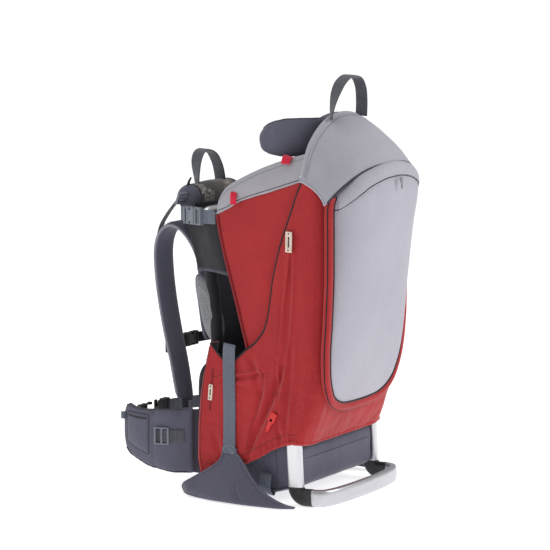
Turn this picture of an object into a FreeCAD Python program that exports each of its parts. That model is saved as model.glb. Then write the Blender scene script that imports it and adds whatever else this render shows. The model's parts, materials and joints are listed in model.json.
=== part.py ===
import FreeCAD, Part
import Sketcher
import math
import os

# Child carrier backpack: tube frame, rear shell, hood, mini pack, seat, kickstand and harness.
# +Y is the way the wearer faces, -Y is the rear, +X is the wearer's right, +Z is up.
# The origin is on the ground under the middle of the pack. Millimetres.
V = FreeCAD.Vector
X, Y, Z = V(1, 0, 0), V(0, 1, 0), V(0, 0, 1)
SIDES = (("left", -1), ("right", 1))
PLANES = {"x": "YZ_Plane", "y": "XZ_Plane", "z": "XY_Plane"}

doc = FreeCAD.newDocument("child_carrier")
sheet = doc.addObject("Spreadsheet::Sheet", "dims")
sheet.Label = "dims"
nodes = []  # the objects that are written out


class Size:
    """A length with the spreadsheet expression it comes from."""

    def __init__(self, value, text):
        self.value = float(value)
        self.text = text

    def __add__(self, other):
        other = as_size(other)
        return Size(self.value + other.value, "(%s + %s)" % (self.text, other.text))

    def __neg__(self):
        return Size(-self.value, "(0 - %s)" % self.text)

    def __sub__(self, other):
        return self + -as_size(other)

    def __mul__(self, other):
        other = as_size(other)
        return Size(self.value * other.value, "(%s * %s)" % (self.text, other.text))

    def __truediv__(self, other):
        other = as_size(other)
        return Size(self.value / other.value, "(%s / %s)" % (self.text, other.text))

    __radd__ = __add__
    __rmul__ = __mul__


def as_size(number):
    if isinstance(number, Size):
        return number
    return Size(number, "%.9g" % number if number >= 0 else "(0 - %.9g)" % -number)


sheet_rows = []


def dim(alias, value, note):
    """Add a row to the spreadsheet and return its Size."""
    sheet_rows.append(alias)
    row = len(sheet_rows)
    sheet.set("A%d" % row, alias)
    sheet.set("B%d" % row, "%g" % value)
    sheet.setAlias("B%d" % row, alias)
    sheet.set("C%d" % row, note)
    return Size(value, "dims.%s" % alias)


# ---- driving dimensions
frame_x = dim("frame_x", 105, "upright tube, half spacing")
frame_y = dim("frame_y", 62, "upright tube, depth at the base")
tube_r = dim("tube_r", 10, "upright tube outer radius")
tube_wall = dim("tube_wall", 1.5, "upright tube wall")
bar_r = dim("bar_r", 9, "front base bar radius")
leg_x = dim("leg_x", 137, "kickstand leg, half spacing")
pivot_y = dim("pivot_y", -120, "kickstand pivot depth")
pivot_z = dim("pivot_z", 235, "kickstand pivot height")
oval_w = dim("oval_w", 32, "kickstand tube, long side")
oval_t = dim("oval_t", 15, "kickstand tube, short side")
oval_wall = dim("oval_wall", 1.8, "kickstand tube wall")
elbow_r = dim("elbow_r", 19, "kickstand elbow centreline radius")
bow_y = dim("bow_y", -198, "kickstand bow, rearmost centreline")
leg_drop = dim("leg_drop", 1.1, "extra leg length that brings the leaned elbows to the ground")
pin_r = dim("pin_r", 4.95, "pivot pin radius")
pin_hole = dim("pin_hole", 5, "pivot hole in the leg")
strut_x = dim("strut_x", 110.5, "seat strut half spacing")
strut_r = dim("strut_r", 8, "seat strut radius")
strut_z = dim("strut_z", 235, "seat strut height")
shell_x = dim("shell_x", 150, "rear shell half width")
shell_wall = dim("shell_wall", 3.5, "rear shell wall")
rear_y = dim("rear_y", -200, "rear wall of the shell")
hood_top = dim("hood_top", 715, "top of the hood")
pod_x = dim("pod_x", 130, "mini pack half width")
pod_y = dim("pod_y", -284, "mini pack rear")
base_x = dim("base_x", 125, "base compartment half width")
board_t = dim("board_t", 3, "back board thickness")
web = dim("web", 25, "webbing width")
web_t = dim("web_t", 2, "webbing thickness")
strap_t = dim("strap_t", 12, "shoulder strap thickness")
hip_t = dim("hip_t", 14, "hip wing thickness")
roll_r = dim("roll_r", 20, "drool pad radius")
roll_y = dim("roll_y", 150, "drool pad depth")
roll_z = dim("roll_z", 549, "drool pad height")
wing_x = dim("wing_x", 140, "cockpit side wing, inner face")
wing_t = dim("wing_t", 4, "cockpit side wing thickness")
button_r = dim("button_r", 6, "harness release button radius")
socket_gap = 0.05  # radial clearance of the frame sockets


# ---- ranges and outlines
def around(centre, half):
    return centre - half, centre + half


def both_ways(half):
    return -half, half


def side_range(sign, inner, outer):
    """X range between two distances from the middle, on the side given by sign."""
    return (-outer, -inner) if sign < 0 else (inner, outer)


def mirrored(half):
    """Points followed by their mirror in X. A point on the middle (x = 0) is not repeated."""
    return half + [(-point[0], *point[1:]) for point in reversed(half) if point[0]]


def side_outline(sign, points):
    """Right-hand (x, y) points, mirrored for the left with their winding kept."""
    return points if sign > 0 else [(-x, y) for x, y in reversed(points)]


# ---- document objects
def add(kind, label):
    item = doc.addObject(kind, label)
    item.Label = label
    return item


def bind(item, name, size):
    size = as_size(size)
    setattr(item, name, size.value)
    item.setExpression(name, size.text)


def place(item, x=0, y=0, z=0, rotation=None):
    base = [as_size(x), as_size(y), as_size(z)]
    item.Placement = FreeCAD.Placement(
        V(*[size.value for size in base]), rotation or FreeCAD.Rotation())
    for axis, size in zip("xyz", base):
        item.setExpression("Placement.Base." + axis, size.text)


def new_sketch(body, role, suffix="_sketch"):
    sketch = body.newObject("Sketcher::SketchObject", body.Name + suffix)
    origin_plane = next(f for f in body.Origin.OriginFeatures if f.Role == role)
    sketch.AttachmentSupport = [(origin_plane, "")]
    sketch.MapMode = "FlatFace"
    return sketch


def constrain(sketch, kind, refs, size):
    size = as_size(size)
    index = sketch.addConstraint(Sketcher.Constraint(kind, *refs, size.value))
    sketch.setExpression("Constraints[%d]" % index, size.text)


def draw_polygon(sketch, points):
    """A closed polygon, each corner held to its own expressions."""
    points = [(as_size(a), as_size(b)) for a, b in points]
    count, first = len(points), sketch.GeometryCount
    corners = [V(a.value, b.value, 0) for a, b in points]
    for k in range(count):
        sketch.addGeometry(Part.LineSegment(corners[k], corners[(k + 1) % count]), False)
    for k in range(count):
        sketch.addConstraint(
            Sketcher.Constraint("Coincident", first + k, 2, first + (k + 1) % count, 1))
    for k, (a, b) in enumerate(points):
        constrain(sketch, "DistanceX", (first + k, 1), a)
        constrain(sketch, "DistanceY", (first + k, 1), b)


def draw_circle(sketch, x, y, radius):
    x, y, radius = as_size(x), as_size(y), as_size(radius)
    ring = sketch.addGeometry(Part.Circle(V(x.value, y.value, 0), Z, radius.value), False)
    constrain(sketch, "DistanceX", (ring, 3), x)
    constrain(sketch, "DistanceY", (ring, 3), y)
    constrain(sketch, "Radius", (ring,), radius)


def draw_oval(sketch, half, radius):
    """A slot along the sketch's second axis: two arcs joined by tangent lines."""
    h, r = half.value, radius.value

    def arc(y, start):
        circle = Part.Circle(V(0, y, 0), Z, r)
        return sketch.addGeometry(Part.ArcOfCircle(circle, start, start + math.pi), False)

    def line(x, y):
        return sketch.addGeometry(Part.LineSegment(V(x, y, 0), V(x, -y, 0)), False)

    top, left, bottom, right = arc(h, 0), line(-r, h), arc(-h, math.pi), line(r, -h)
    for one, other in ((top, left), (left, bottom), (bottom, right), (right, top)):
        sketch.addConstraint(Sketcher.Constraint("Tangent", one, 2, other, 1))
    sketch.addConstraint(Sketcher.Constraint("Equal", top, bottom))
    constrain(sketch, "Radius", (top,), radius)
    constrain(sketch, "DistanceY", (top, 3), half)
    constrain(sketch, "DistanceY", (bottom, 3), -half)
    constrain(sketch, "DistanceX", (top, 3), 0)
    constrain(sketch, "DistanceX", (bottom, 3), 0)


def pad(body, sketch, length):
    item = body.newObject("PartDesign::Pad", body.Name + "_pad")
    item.Profile = sketch
    bind(item, "Length", length)
    sketch.Visibility = False
    return item


def prism(label, axis, outline, limits):
    """An outline padded along an axis between two limits.

    The outline is (y, z) for axis x, (x, z) for axis y and (x, y) for axis z.
    """
    low, high = limits
    body = add("PartDesign::Body", label)
    sketch = new_sketch(body, PLANES[axis])
    draw_polygon(sketch, outline)
    pad(body, sketch, as_size(high) - low)
    # a pad from the XZ plane runs along -Y, so it starts at the high limit
    place(body, **{axis: high if axis == "y" else low})
    return body


def box(label, x_range, y_range, z_range):
    item = add("Part::Box", label)
    ranges = (x_range, y_range, z_range)
    for name, (low, high) in zip(("Length", "Width", "Height"), ranges):
        bind(item, name, as_size(high) - low)
    place(item, x_range[0], y_range[0], z_range[0])
    return item


def cylinder(label, radius, height, x, y, z, direction):
    item = add("Part::Cylinder", label)
    bind(item, "Radius", radius)
    bind(item, "Height", height)
    place(item, x, y, z, FreeCAD.Rotation(Z, direction))
    return item


def fuse(label, *shapes):
    item = add("Part::MultiFuse", label)
    item.Shapes = list(shapes)
    return item


def common(label, *shapes):
    item = add("Part::MultiCommon", label)
    item.Shapes = list(shapes)
    return item


def group(label, *shapes):
    """Several separate solids kept in one node."""
    item = add("Part::Compound", label)
    item.Links = list(shapes)
    return item


def cut(label, base, *tools):
    tool = tools[0] if len(tools) == 1 else fuse(label + "_tools", *tools)
    item = add("Part::Cut", label)
    item.Base = base
    item.Tool = tool
    return item


def feature(label, shape):
    item = add("Part::Feature", label)
    item.Shape = shape
    return item


def keep(item):
    nodes.append(item)
    return item


# ---- lofted straps and swept tubes
def strap(label, sign, stations, across=X):
    """A strap lofted through rectangles, on the side given by sign.

    Each station is (x, y, z, width, thickness). The width runs along `across`.
    """
    centres = [V(sign * x, y, z) for x, y, z, _, _ in stations]
    wires = []
    for k, (centre, station) in enumerate(zip(centres, stations)):
        ahead, behind = centres[min(k + 1, len(centres) - 1)], centres[max(k - 1, 0)]
        tangent = (ahead - behind).normalize()
        sideways = (across - tangent * across.dot(tangent)).normalize()
        a = sideways * (station[3] / 2)
        b = tangent.cross(sideways) * (station[4] / 2)
        corners = [centre - a - b, centre + a - b, centre + a + b, centre - a + b]
        wires.append(Part.makePolygon(corners + corners[:1]))
    return feature(label, Part.makeLoft(wires, True, True))


def webbing(label, sign, points, width, across=X):
    return strap(label, sign, [(*point, width, web_t.value) for point in points], across)


def rounded_path(points, bends):
    """Straight runs joined by arcs, with one bend radius for each inner point."""
    edges, start = [], points[0]
    for before, corner, after, bend in zip(points, points[1:], points[2:], bends):
        u, w = (before - corner).normalize(), (after - corner).normalize()
        half = math.acos(max(-1, min(1, u.dot(w)))) / 2
        setback = bend / math.tan(half)
        arc_start, arc_end = corner + u * setback, corner + w * setback
        middle = corner + (u + w).normalize() * (bend / math.sin(half) - bend)
        edges.append(Part.LineSegment(start, arc_start).toShape())
        edges.append(Part.Arc(arc_start, middle, arc_end).toShape())
        start = arc_end
    edges.append(Part.LineSegment(start, points[-1]).toShape())
    return Part.Wire(edges)


def round_tube(points, bend, outer_r, inner_r):
    points = [V(*point) for point in points]
    path = rounded_path(points, [bend] * (len(points) - 2))
    direction = (points[1] - points[0]).normalize()

    def sweep(radius):
        ring = Part.Wire([Part.makeCircle(radius, points[0], direction)])
        return path.makePipeShell([ring], True, False)

    return sweep(outer_r).cut(sweep(inner_r))


def oval_sweep(spine, width, thick, centre, long_dir, short_dir):
    r = thick / 2
    a = centre + long_dir * ((width - thick) / 2)
    b = centre - long_dir * ((width - thick) / 2)
    corners = [a + short_dir * r, a - short_dir * r, b - short_dir * r, b + short_dir * r]
    wire = Part.Wire([
        Part.Arc(corners[0], a + long_dir * r, corners[1]).toShape(),
        Part.LineSegment(corners[1], corners[2]).toShape(),
        Part.Arc(corners[2], b - long_dir * r, corners[3]).toShape(),
        Part.LineSegment(corners[3], corners[0]).toShape()])
    return spine.makePipeShell([wire], True, True)


# ---- main frame: a hollow tube that runs up both sides of the back and over the top
upright_foot = 26
upright = [  # left side, x, y, z
    (-frame_x.value, frame_y.value, upright_foot), (-frame_x.value, frame_y.value, 300),
    (-95, 84, 430), (-84, 106, 521)]
keep(feature("main_frame_tube", round_tube(
    mirrored(upright), 22, tube_r.value, (tube_r - tube_wall).value)))

# ---- base bar, corner blocks and front feet
bar_z = 14.5
bar_end = frame_x - 7
corner_half, foot_half, foot_h = 14, 12, 4
keep(cylinder("base_front_bar", bar_r, bar_end * 2, -bar_end, frame_y, bar_z, X))


def base_corner(side, sign):
    block = box("corner_block_" + side, side_range(sign, *around(frame_x, corner_half)),
                around(frame_y, corner_half), (foot_h, 58))
    socket = cylinder("corner_socket_" + side, tube_r + socket_gap, 40,
                      sign * frame_x, frame_y, upright_foot, Z)
    bore = cylinder("corner_bore_" + side, bar_r + socket_gap, 22,
                    sign * bar_end, frame_y, bar_z, X * -sign)
    return cut("base_corner_" + side, block, socket, bore)


def front_foot(side, sign):
    return box("foot_" + side[0], side_range(sign, *around(frame_x, foot_half)),
               around(frame_y, foot_half), (0, foot_h))


keep(group("base_corners", *[base_corner(*entry) for entry in SIDES]))
keep(group("front_feet", *[front_foot(*entry) for entry in SIDES]))

# ---- seat struts, from clamps on the uprights back to the kickstand brackets
clamp_inner, clamp_outer = 93, 123
strut_front = frame_y - 12
strut_rear = pivot_y + 8
pin_start = 119.8  # inner end of the pivot pin, inside the bracket
pin_end = leg_x + 7.7


def clamp(side, sign):
    block = box("clamp_block_" + side, side_range(sign, clamp_inner, clamp_outer),
                (frame_y - 30, frame_y + 13), around(strut_z, 16))
    hole = cylinder("clamp_hole_" + side, tube_r + socket_gap, 60,
                    sign * frame_x, frame_y, strut_z - 30, Z)
    socket = cylinder("clamp_socket_" + side, strut_r + socket_gap, 30,
                      sign * strut_x, strut_front, strut_z, -Y)
    return cut("clamp_" + side, block, hole, socket)


def bracket(side, sign):
    block = box("bracket_block_" + side, side_range(sign, 100, 127.5),
                (pivot_y - 16, pivot_y + 30), around(pivot_z, 18))
    socket = cylinder("bracket_socket_" + side, strut_r + socket_gap, 30,
                      sign * strut_x, strut_rear, pivot_z, Y)
    hole = cylinder("bracket_hole_" + side, pin_r, 12,
                    sign * pin_start, pivot_y, pivot_z, X * sign)
    return cut("bracket_" + side, block, socket, hole)


def pin(side, sign):
    shaft = cylinder("pin_shaft_" + side, pin_r, pin_end - pin_start,
                     sign * pin_start, pivot_y, pivot_z, X * sign)
    head = cylinder("pin_head_" + side, 9, 1.5, sign * pin_end, pivot_y, pivot_z, X * sign)
    return fuse("pin_" + side, shaft, head)


def side_rivets(side, sign):
    """Rivet heads on the outer faces of a clamp (c) and a base corner (b)."""
    seats = [
        ("c0", clamp_outer, frame_y - 24, strut_z + 8),
        ("c1", clamp_outer, frame_y - 24, strut_z - 8),
        ("b0", frame_x + corner_half, frame_y, 12),
        ("b1", frame_x + corner_half, frame_y, 44)]
    return [cylinder("rivet_%s_%s" % (name, side), 3.2, 1.6, sign * x, y, z, X * sign)
            for name, x, y, z in seats]


clamps, struts, pins, rivets = [], [], [], []
for side, sign in SIDES:
    clamps.append(clamp(side[0], sign))
    struts.append(cylinder("strut_" + side[0], strut_r, strut_front - strut_rear,
                           sign * strut_x, strut_front, strut_z, -Y))
    keep(bracket(side[0], sign)).Label = "pivot_bracket_" + side
    pins.append(pin(side[0], sign))
    rivets += side_rivets(side[0], sign)
keep(group("strut_clamps", *clamps))
keep(group("seat_struts", *struts))
keep(group("pins_and_rivets", *pins, *rivets))

# ---- hoop tube from above the pivot brackets up inside the shell
hoop = [  # left side, x, y, z
    (-112, -130, pivot_z.value + 22), (-124, -168, 340), (-124, -168, 560), (-70, -176, 668)]
keep(feature("shell_hoop", round_tube(mirrored(hoop), 24, 5, 3.6)))

# ---- kickstand: two oval legs, two elbows and a bowed oval bar,
# drawn upright about the pivot and then leaned
lean = FreeCAD.Rotation(X, -3.4)
leg_length = pivot_z - elbow_r - oval_w / 2 + leg_drop  # pivot down to the elbow
leg_above = 22  # leg above the pivot
leg_solid_end = 30  # distance from the pivot down to the end of the bore
elbow_extra = 0.8  # elbow section over the tube's
elbow_drop = -leg_length.value - elbow_r.value
elbow_end_y = -elbow_r.value - 16  # rear end of the elbow's straight run


def kickstand_leg(side, sign):
    oval_half = (oval_w - oval_t) / 2
    leg = add("PartDesign::Body", "kickstand_leg_" + side)
    section = new_sketch(leg, "XY_Plane")
    draw_oval(section, oval_half, oval_t / 2)
    solid = pad(leg, section, leg_length + leg_above)
    bore = new_sketch(leg, "XY_Plane", "_bore")
    draw_oval(bore, oval_half, oval_t / 2 - oval_wall)
    doc.recompute()
    solid_volume = solid.Shape.Volume

    hollow = leg.newObject("PartDesign::Pocket", leg.Name + "_hollow")
    hollow.Profile = bore
    hollow.Type = 0
    bind(hollow, "Length", leg_length - leg_solid_end)
    hollow.Reversed = True
    doc.recompute()
    # guards against a pocket that runs away from the leg and removes nothing
    if hollow.Shape.Volume > solid_volume * 0.8:
        hollow.Reversed = False
        doc.recompute()

    pivot = new_sketch(leg, "YZ_Plane", "_pivot")
    draw_circle(pivot, 0, leg_length, pin_hole)
    hole = leg.newObject("PartDesign::Pocket", leg.Name + "_hole")
    hole.Profile = pivot
    hole.Type = 1  # through all
    hole.Midplane = True
    doc.recompute()
    foot = lean.multVec(V(0, 0, -leg_length.value))
    place(leg, sign * leg_x, pivot_y + foot.y, pivot_z + foot.z, lean)
    return leg


def kickstand_elbow(side, sign):
    x, radius, top = sign * leg_x.value, elbow_r.value, -leg_length.value
    start = V(x, 0, top)
    middle = V(x, -radius + radius * math.cos(math.pi / 4),
               top - radius * math.sin(math.pi / 4))
    arc_end = V(x, -radius, elbow_drop)
    spine = Part.Wire([
        Part.Arc(start, middle, arc_end).toShape(),
        Part.LineSegment(arc_end, V(x, elbow_end_y, elbow_drop)).toShape()])
    shape = oval_sweep(spine, oval_w.value + elbow_extra, oval_t.value + elbow_extra,
                       start, Y, X)
    shape.Placement = FreeCAD.Placement(V(0, pivot_y.value, pivot_z.value), lean)
    return feature("kickstand_elbow_" + side, shape)


def kickstand_bow():
    """The level bar behind the elbows."""
    elbow_end = lean.multVec(V(0, elbow_end_y, elbow_drop))
    start_y = pivot_y.value + elbow_end.y - 1.1
    z = pivot_z.value + elbow_end.z
    corners = mirrored([  # left side, x, y, bend radius
        (-leg_x.value, start_y, 0), (-leg_x.value, bow_y.value + 8, 20),
        (-66, bow_y.value, 120)])
    points = [V(x, y, z) for x, y, _ in corners]
    path = rounded_path(points, [bend for _, _, bend in corners[1:-1]])
    width, thick, walls = oval_w.value, oval_t.value, 2 * oval_wall.value
    outer = oval_sweep(path, width, thick, points[0], Z, X)
    inner = oval_sweep(path, width - walls, thick - walls, points[0], Z, X)
    return feature("kickstand_bow", outer.cut(inner))


for entry in SIDES:
    keep(kickstand_leg(*entry))
keep(group("kickstand_elbows", *[kickstand_elbow(*entry) for entry in SIDES]))
keep(kickstand_bow())

# ---- back board and pads
board_line = [(78, 46), (78, 300), (90, 380), (127, 520)]  # rear face of the board, y, z
back_pad_line = [  # y, z
    (81.5, 284), (81.5, 301), (94.5, 384), (96, 390), (112, 390), (116, 380), (108, 340),
    (97, 302), (91, 284)]
lumbar_line = [  # y, z
    (81.5, 52), (81.5, 262), (88, 262), (100, 240), (104, 150), (98, 60), (92, 52)]


def board_y(z):
    for (ya, za), (yb, zb) in zip(board_line, board_line[1:]):
        if za <= z <= zb:
            return ya + (yb - ya) * (z - za) / (zb - za)


def slab(label, heights, offset, thick, half_width):
    """A sheet that follows the board line, its rear face `offset` forward of it."""
    rear = [(board_y(z) + offset, z) for z in heights]
    front = [(y + thick, z) for y, z in reversed(rear)]
    return prism(label, "x", rear + front, both_ways(half_width))


keep(slab("back_board", [z for _, z in board_line], 0, board_t, 98))
for side, sign in SIDES:
    keep(prism("back_pad_" + side, "x", back_pad_line, side_range(sign, 26, 112)))
keep(prism("lumbar_pad", "x", lumbar_line, both_ways(112)))

# ---- base compartment
base_side = [  # y, z
    (44, 12), (44, 106), (-132, 106), (-138, 60), (-134, 34), (-112, 26), (-63, 12)]
base_plan = mirrored([(-base_x, 48), (-base_x, -118), (-108, -138)])  # x, y
keep(common("base_compartment",
            prism("base_side", "x", base_side, both_ways(base_x)),
            prism("base_plan", "z", base_plan, (5, 110))))

# ---- rear shell: outer form less inner form
inner_x = shell_x - shell_wall
inner_rear = rear_y + shell_wall
shell_side = [  # y, z
    (70, 37), (76, 69), (75, 128), (70, 183), (63, 227), (54, 262), (48, 288), (31, 270),
    (14, 256), (1, 256), (-30, 282), (-54, 301), (-70, 327), (-79, 358), (-82, 396),
    (-103, 458), (-120, 516), (-133, 565), (-145, 596), (-150, 601), (rear_y, 556),
    (rear_y, 200), (-149, 112), (-117, 112), (-91, 101), (-64, 86), (-33, 69), (20, 48)]
shell_plan = mirrored([  # x, y
    (-shell_x, 79), (-shell_x, -160), (-141, -184), (-118, rear_y)])
shell_in_side = [  # y, z
    (200, 20), (200, 700), (inner_rear, 700), (inner_rear, 201), (-145.5, 108), (-145.5, 20)]
shell_in_plan = mirrored([  # x, y
    (-inner_x, 68.5), (-inner_x, -159), (-138, -181.5), (-116.5, inner_rear)])
shell_outer = common("shell_outer",
                     prism("shell_side", "x", shell_side, both_ways(shell_x)),
                     prism("shell_plan", "z", shell_plan, (30, 620)))
shell_inner = common("shell_inner",
                     prism("shell_in_side", "x", shell_in_side, both_ways(inner_x)),
                     prism("shell_in_plan", "z", shell_in_plan, (20, 700)))
front_gap = box("shell_front_gap", (-124, 124), (60, 90), (20, 320))
keep(cut("shell_body", shell_outer, shell_inner, front_gap))

# ---- hood, a thin dome open to the front and below
hood_side = [  # y, z
    (-150.5, 602.5), (-146, 720), (-162, 717), (-180, 705), (-222, 656), (-246, 624),
    (-253, 607), (-253, 590), (rear_y, 556.5)]
hood_arch = mirrored([  # x, z
    (-shell_x, 560), (-shell_x, 588), (-142, 606), (-131, 632), (-112, 657), (-78, 692),
    (-44, 710), (0, hood_top)])
hood_plan = mirrored([  # x, y
    (-shell_x, -140), (-shell_x, -165), (-143, -190), (-112, -222), (-60, -246), (0, -253)])
hood_in_side = [  # y, z
    (-100, 540), (-100, 740), (-160, 713), (-177, 702), (-219, 653), (-242.5, 621.5),
    (-249.5, 606), (-249.5, 540)]
hood_in_arch = mirrored([  # x, z
    (-inner_x, 540), (-inner_x, 587), (-138.5, 604), (-128, 629.5), (-109.5, 654),
    (-76, 688.5), (-43, 706), (0, hood_top - 4)])
hood_in_plan = mirrored([  # x, y
    (-inner_x, -100), (-inner_x, -164), (-139.5, -188), (-110, -218.5), (-59, -242.5),
    (0, -249.5)])
pod_gap = mirrored([  # opening for the mini pack, x, z
    (-134, 500), (-134, 577), (-121, 595), (-86, 617.5), (-43, 629), (0, 633)])
hood_outer = common("hood_outer",
                    prism("hood_side", "x", hood_side, both_ways(shell_x)),
                    prism("hood_arch", "y", hood_arch, (-260, -140)),
                    prism("hood_plan", "z", hood_plan, (540, 740)))
hood_inner = common("hood_inner",
                    prism("hood_in_side", "x", hood_in_side, both_ways(160)),
                    prism("hood_in_arch", "y", hood_in_arch, (-260, -90)),
                    prism("hood_in_plan", "z", hood_in_plan, (530, 750)))
keep(cut("hood_cap", hood_outer, hood_inner,
         prism("hood_pod_gap", "y", pod_gap, (-300, rear_y - 0.4))))

# ---- mini pack on the rear wall of the shell
pod_front = rear_y - 1
pod_side = [  # y, z
    (pod_front, 194), (-212, 188), (-222, 200), (-237, 240), (-251, 330), (-265, 450),
    (pod_y + 2, 545), (pod_y, 572), (-275, 600), (-252, 627), (pod_front, 627)]
pod_plan = mirrored([  # x, y
    (-pod_x, pod_front), (-pod_x, -222), (-116, -250), (-84, -271), (-44, -281), (0, pod_y)])
pod_face = mirrored([  # x, z
    (-70, 188), (-104, 206), (-124, 240), (-pod_x, 280), (-pod_x, 571), (-118, 588),
    (-84, 611), (-42, 625), (0, 629)])
keep(common("mini_pack",
            prism("pod_side", "x", pod_side, both_ways(pod_x)),
            prism("pod_plan", "z", pod_plan, (180, 640)),
            prism("pod_face", "y", pod_face, (-290, rear_y))))

# ---- cockpit side wings and their padded rims
wing_line = [  # y, z
    (37, 526), (12, 423), (-17, 322), (-28, 286), (-40, 270), (-150, 270), (-150, 590),
    (-145, 597.5), (-80, 575.5), (-20, 556.5), (10, 540.5)]
rim_line = [  # y, z
    (37, 527.5), (10, 541.5), (-20, 557.5), (-80, 576.5), (-145, 598.5), (-145, 650),
    (-97, 634), (-46, 614), (6, 587), (24, 574), (35, 556)]
rims = []
for side, sign in SIDES:
    keep(prism("wing_" + side, "x", wing_line, side_range(sign, wing_x, wing_x + wing_t)))
    rims.append(prism("rim_" + side, "x", rim_line, side_range(sign, wing_x - 6, wing_x + 5)))
keep(group("cockpit_rims", *rims))

# ---- drool pad roll across the top of the frame
roll_half = 78
keep(cylinder("drool_pad", roll_r, 2 * roll_half, -roll_half, roll_y, roll_z, X))

# ---- seat and its back pad
seat_pan = [(-150, 262), (-150, 292), (-60, 284), (20, 290), (34, 284), (34, 262)]  # y, z
seat_front = [(36, 262), (36, 330), (42, 400), (54, 400), (50, 330), (50, 262)]  # y, z
seat_back = [  # y, z
    (-186, 300), (-186, 586), (-170, 586), (-164, 556), (-160, 340), (-166, 300)]
keep(group("seat_cushion",
           prism("seat_pan", "x", seat_pan, both_ways(98)),
           prism("seat_front", "x", seat_front, both_ways(46))))
keep(prism("seat_back_pad", "x", seat_back, both_ways(100)))

# ---- child's harness and its buckle
harness_line = [  # x, y, z, width, thickness
    (34, -156, 566, 26, 4), (34, -155, 470, 26, 4), (32, -151, 380, 26, 4),
    (27, -132, 330, 24, 4), (22, -118, 306, 22, 4)]
button_z = 318
keep(group("child_harness", *[
    strap("harness_strap_" + side[0], sign, harness_line) for side, sign in SIDES]))
keep(cut("harness_buckle",
         box("buckle_block", (-24, 24), (-110, -96), around(button_z, 22)),
         cylinder("buckle_bore", button_r + 0.4, 30, 0, -90, button_z, -Y)))
keep(cylinder("buckle_button", button_r, 11, 0, -93, button_z, -Y))

# ---- headrest: a crescent pillow with two ears
crescent_rear = mirrored([  # x, y
    (-82, -14), (-96, -26), (-92, -62), (-74, -106), (-46, -134), (0, -141)])
crescent_front = mirrored([(68, -30), (60, -66), (46, -100), (26, -118), (0, -122)])  # x, y
ear_side = [  # y, z
    (-8, 652), (-8, 700), (-24, 708), (-145, 708), (-145, 640), (-60, 636), (-26, 640)]
keep(common("headrest",
            prism("headrest_plan", "z", crescent_rear + crescent_front, (630, 712)),
            prism("headrest_side", "x", ear_side, both_ways(110))))

# ---- shoulder harness: yoke, straps, load lifters, lower webbing and ladder locks
full_t = strap_t.value
shoulder_line = [  # x, y, z, width, thickness
    (58, 121, 436, 58, 10), (60, 136, 468, 60, full_t), (64, 160, 497, 62, full_t),
    (69, 186, 504, 62, full_t), (73, 206, 486, 62, full_t), (75, 214, 450, 62, full_t),
    (77, 208, 395, 60, full_t), (79, 197, 345, 58, full_t), (82, 181, 285, 56, full_t),
    (87, 166, 230, 54, full_t), (95, 152, 186, 50, 11), (104, 139, 156, 44, 9)]
lifter_line = [  # x, y, z
    (77, 231, 470), (78, 226, 486), (86, 194, 516), (93, 164, 543), (95, 151, 551)]
lower_line = [(106, 123.5, 150), (106, 121, 120), (106, 114, 96), (106, 106, 80)]  # x, y, z
narrow_web = 20
keep(slab("harness_yoke", [424, 498], 3.6, 6, 84))
for side, sign in SIDES:
    keep(strap("shoulder_strap_" + side, sign, shoulder_line))
keep(group("ladder_locks", *[
    box(name + side[0], side_range(sign, *around(x, half)), y_range, z_range)
    for name, x, half, y_range, z_range in (
        ("ulock_", 95, 14, (138, 147), (536, 556)),
        ("llock_", 108, 17, (127, 134), (122, 146)))
    for side, sign in SIDES]))
keep(group("harness_webbing", *[
    webbing(name + side[0], sign, line, narrow_web)
    for name, line in (("lifter_", lifter_line), ("lower_web_", lower_line))
    for side, sign in SIDES]))

# ---- sternum strap and buckle
stern_z = 260
stern_web_y = 189.7
stern_buckle_y, stern_buckle_z = (192.3, 203.3), around(stern_z, 14)
stern_prong_y = (195.1, 200.5)
stern_webs = [
    box("stern_web_" + side[0], side_range(sign, 10, 92), (stern_web_y, stern_web_y + web_t),
        around(stern_z, 9)) for side, sign in SIDES]
stern_clips = [
    box("stern_clip_" + side[0], side_range(sign, 75, 93), (184.3, 189.2),
        around(stern_z, 12)) for side, sign in SIDES]
keep(group("sternum_webbing", *stern_webs, *stern_clips))
keep(cut("sternum_buckle_female",
         box("sf_block", (1, 29), stern_buckle_y, stern_buckle_z),
         box("sf_slot", (0, 22), (194.3, 201.3), around(stern_z, 10))))
keep(fuse("sternum_buckle_male",
          box("sm_block", (-28, -0.5), stern_buckle_y, stern_buckle_z),
          box("sm_tongue", (-4, 19), stern_prong_y, around(stern_z, 3)),
          box("sm_prong_a", (-4, 18), stern_prong_y, (251.4, 254)),
          box("sm_prong_b", (-4, 18), stern_prong_y, (266, 268.6))))

# ---- hip belt: wings, webbing and buckle halves
hip_z = 112
hip_centreline = [(126, 104), (134, 118), (146, 140), (152, 170), (152, 200), (147, 224)]  # x, y
hip_side = [  # y, z
    (88, 44), (88, 158), (130, 156), (200, 152), (246, 160), (248, 80), (226, 66),
    (180, 52), (130, 42)]
hip_web_line = [  # x, y
    (161, 196), (159.5, 216), (152, 235), (138, 247), (118, 256), (90, 268), (66, 277),
    (50, 281.6)]
hip_buckle_y, hip_prong_y = (274.6, 288.6), (278.6, 284.6)
hip_buckle_z = around(hip_z, 17)


def hip_outline():
    """The right wing's plan: its centreline offset by half the thickness each way."""
    outer, inner = [], []
    last = len(hip_centreline) - 1
    for k, (x, y) in enumerate(hip_centreline):
        x0, y0 = hip_centreline[max(k - 1, 0)]
        x1, y1 = hip_centreline[min(k + 1, last)]
        scale = hip_t.value / 2 / math.hypot(x1 - x0, y1 - y0)
        dx, dy = (y1 - y0) * scale, (x0 - x1) * scale
        outer.append((x + dx, y + dy))
        inner.append((x - dx, y - dy))
    return outer + inner[::-1]


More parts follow.
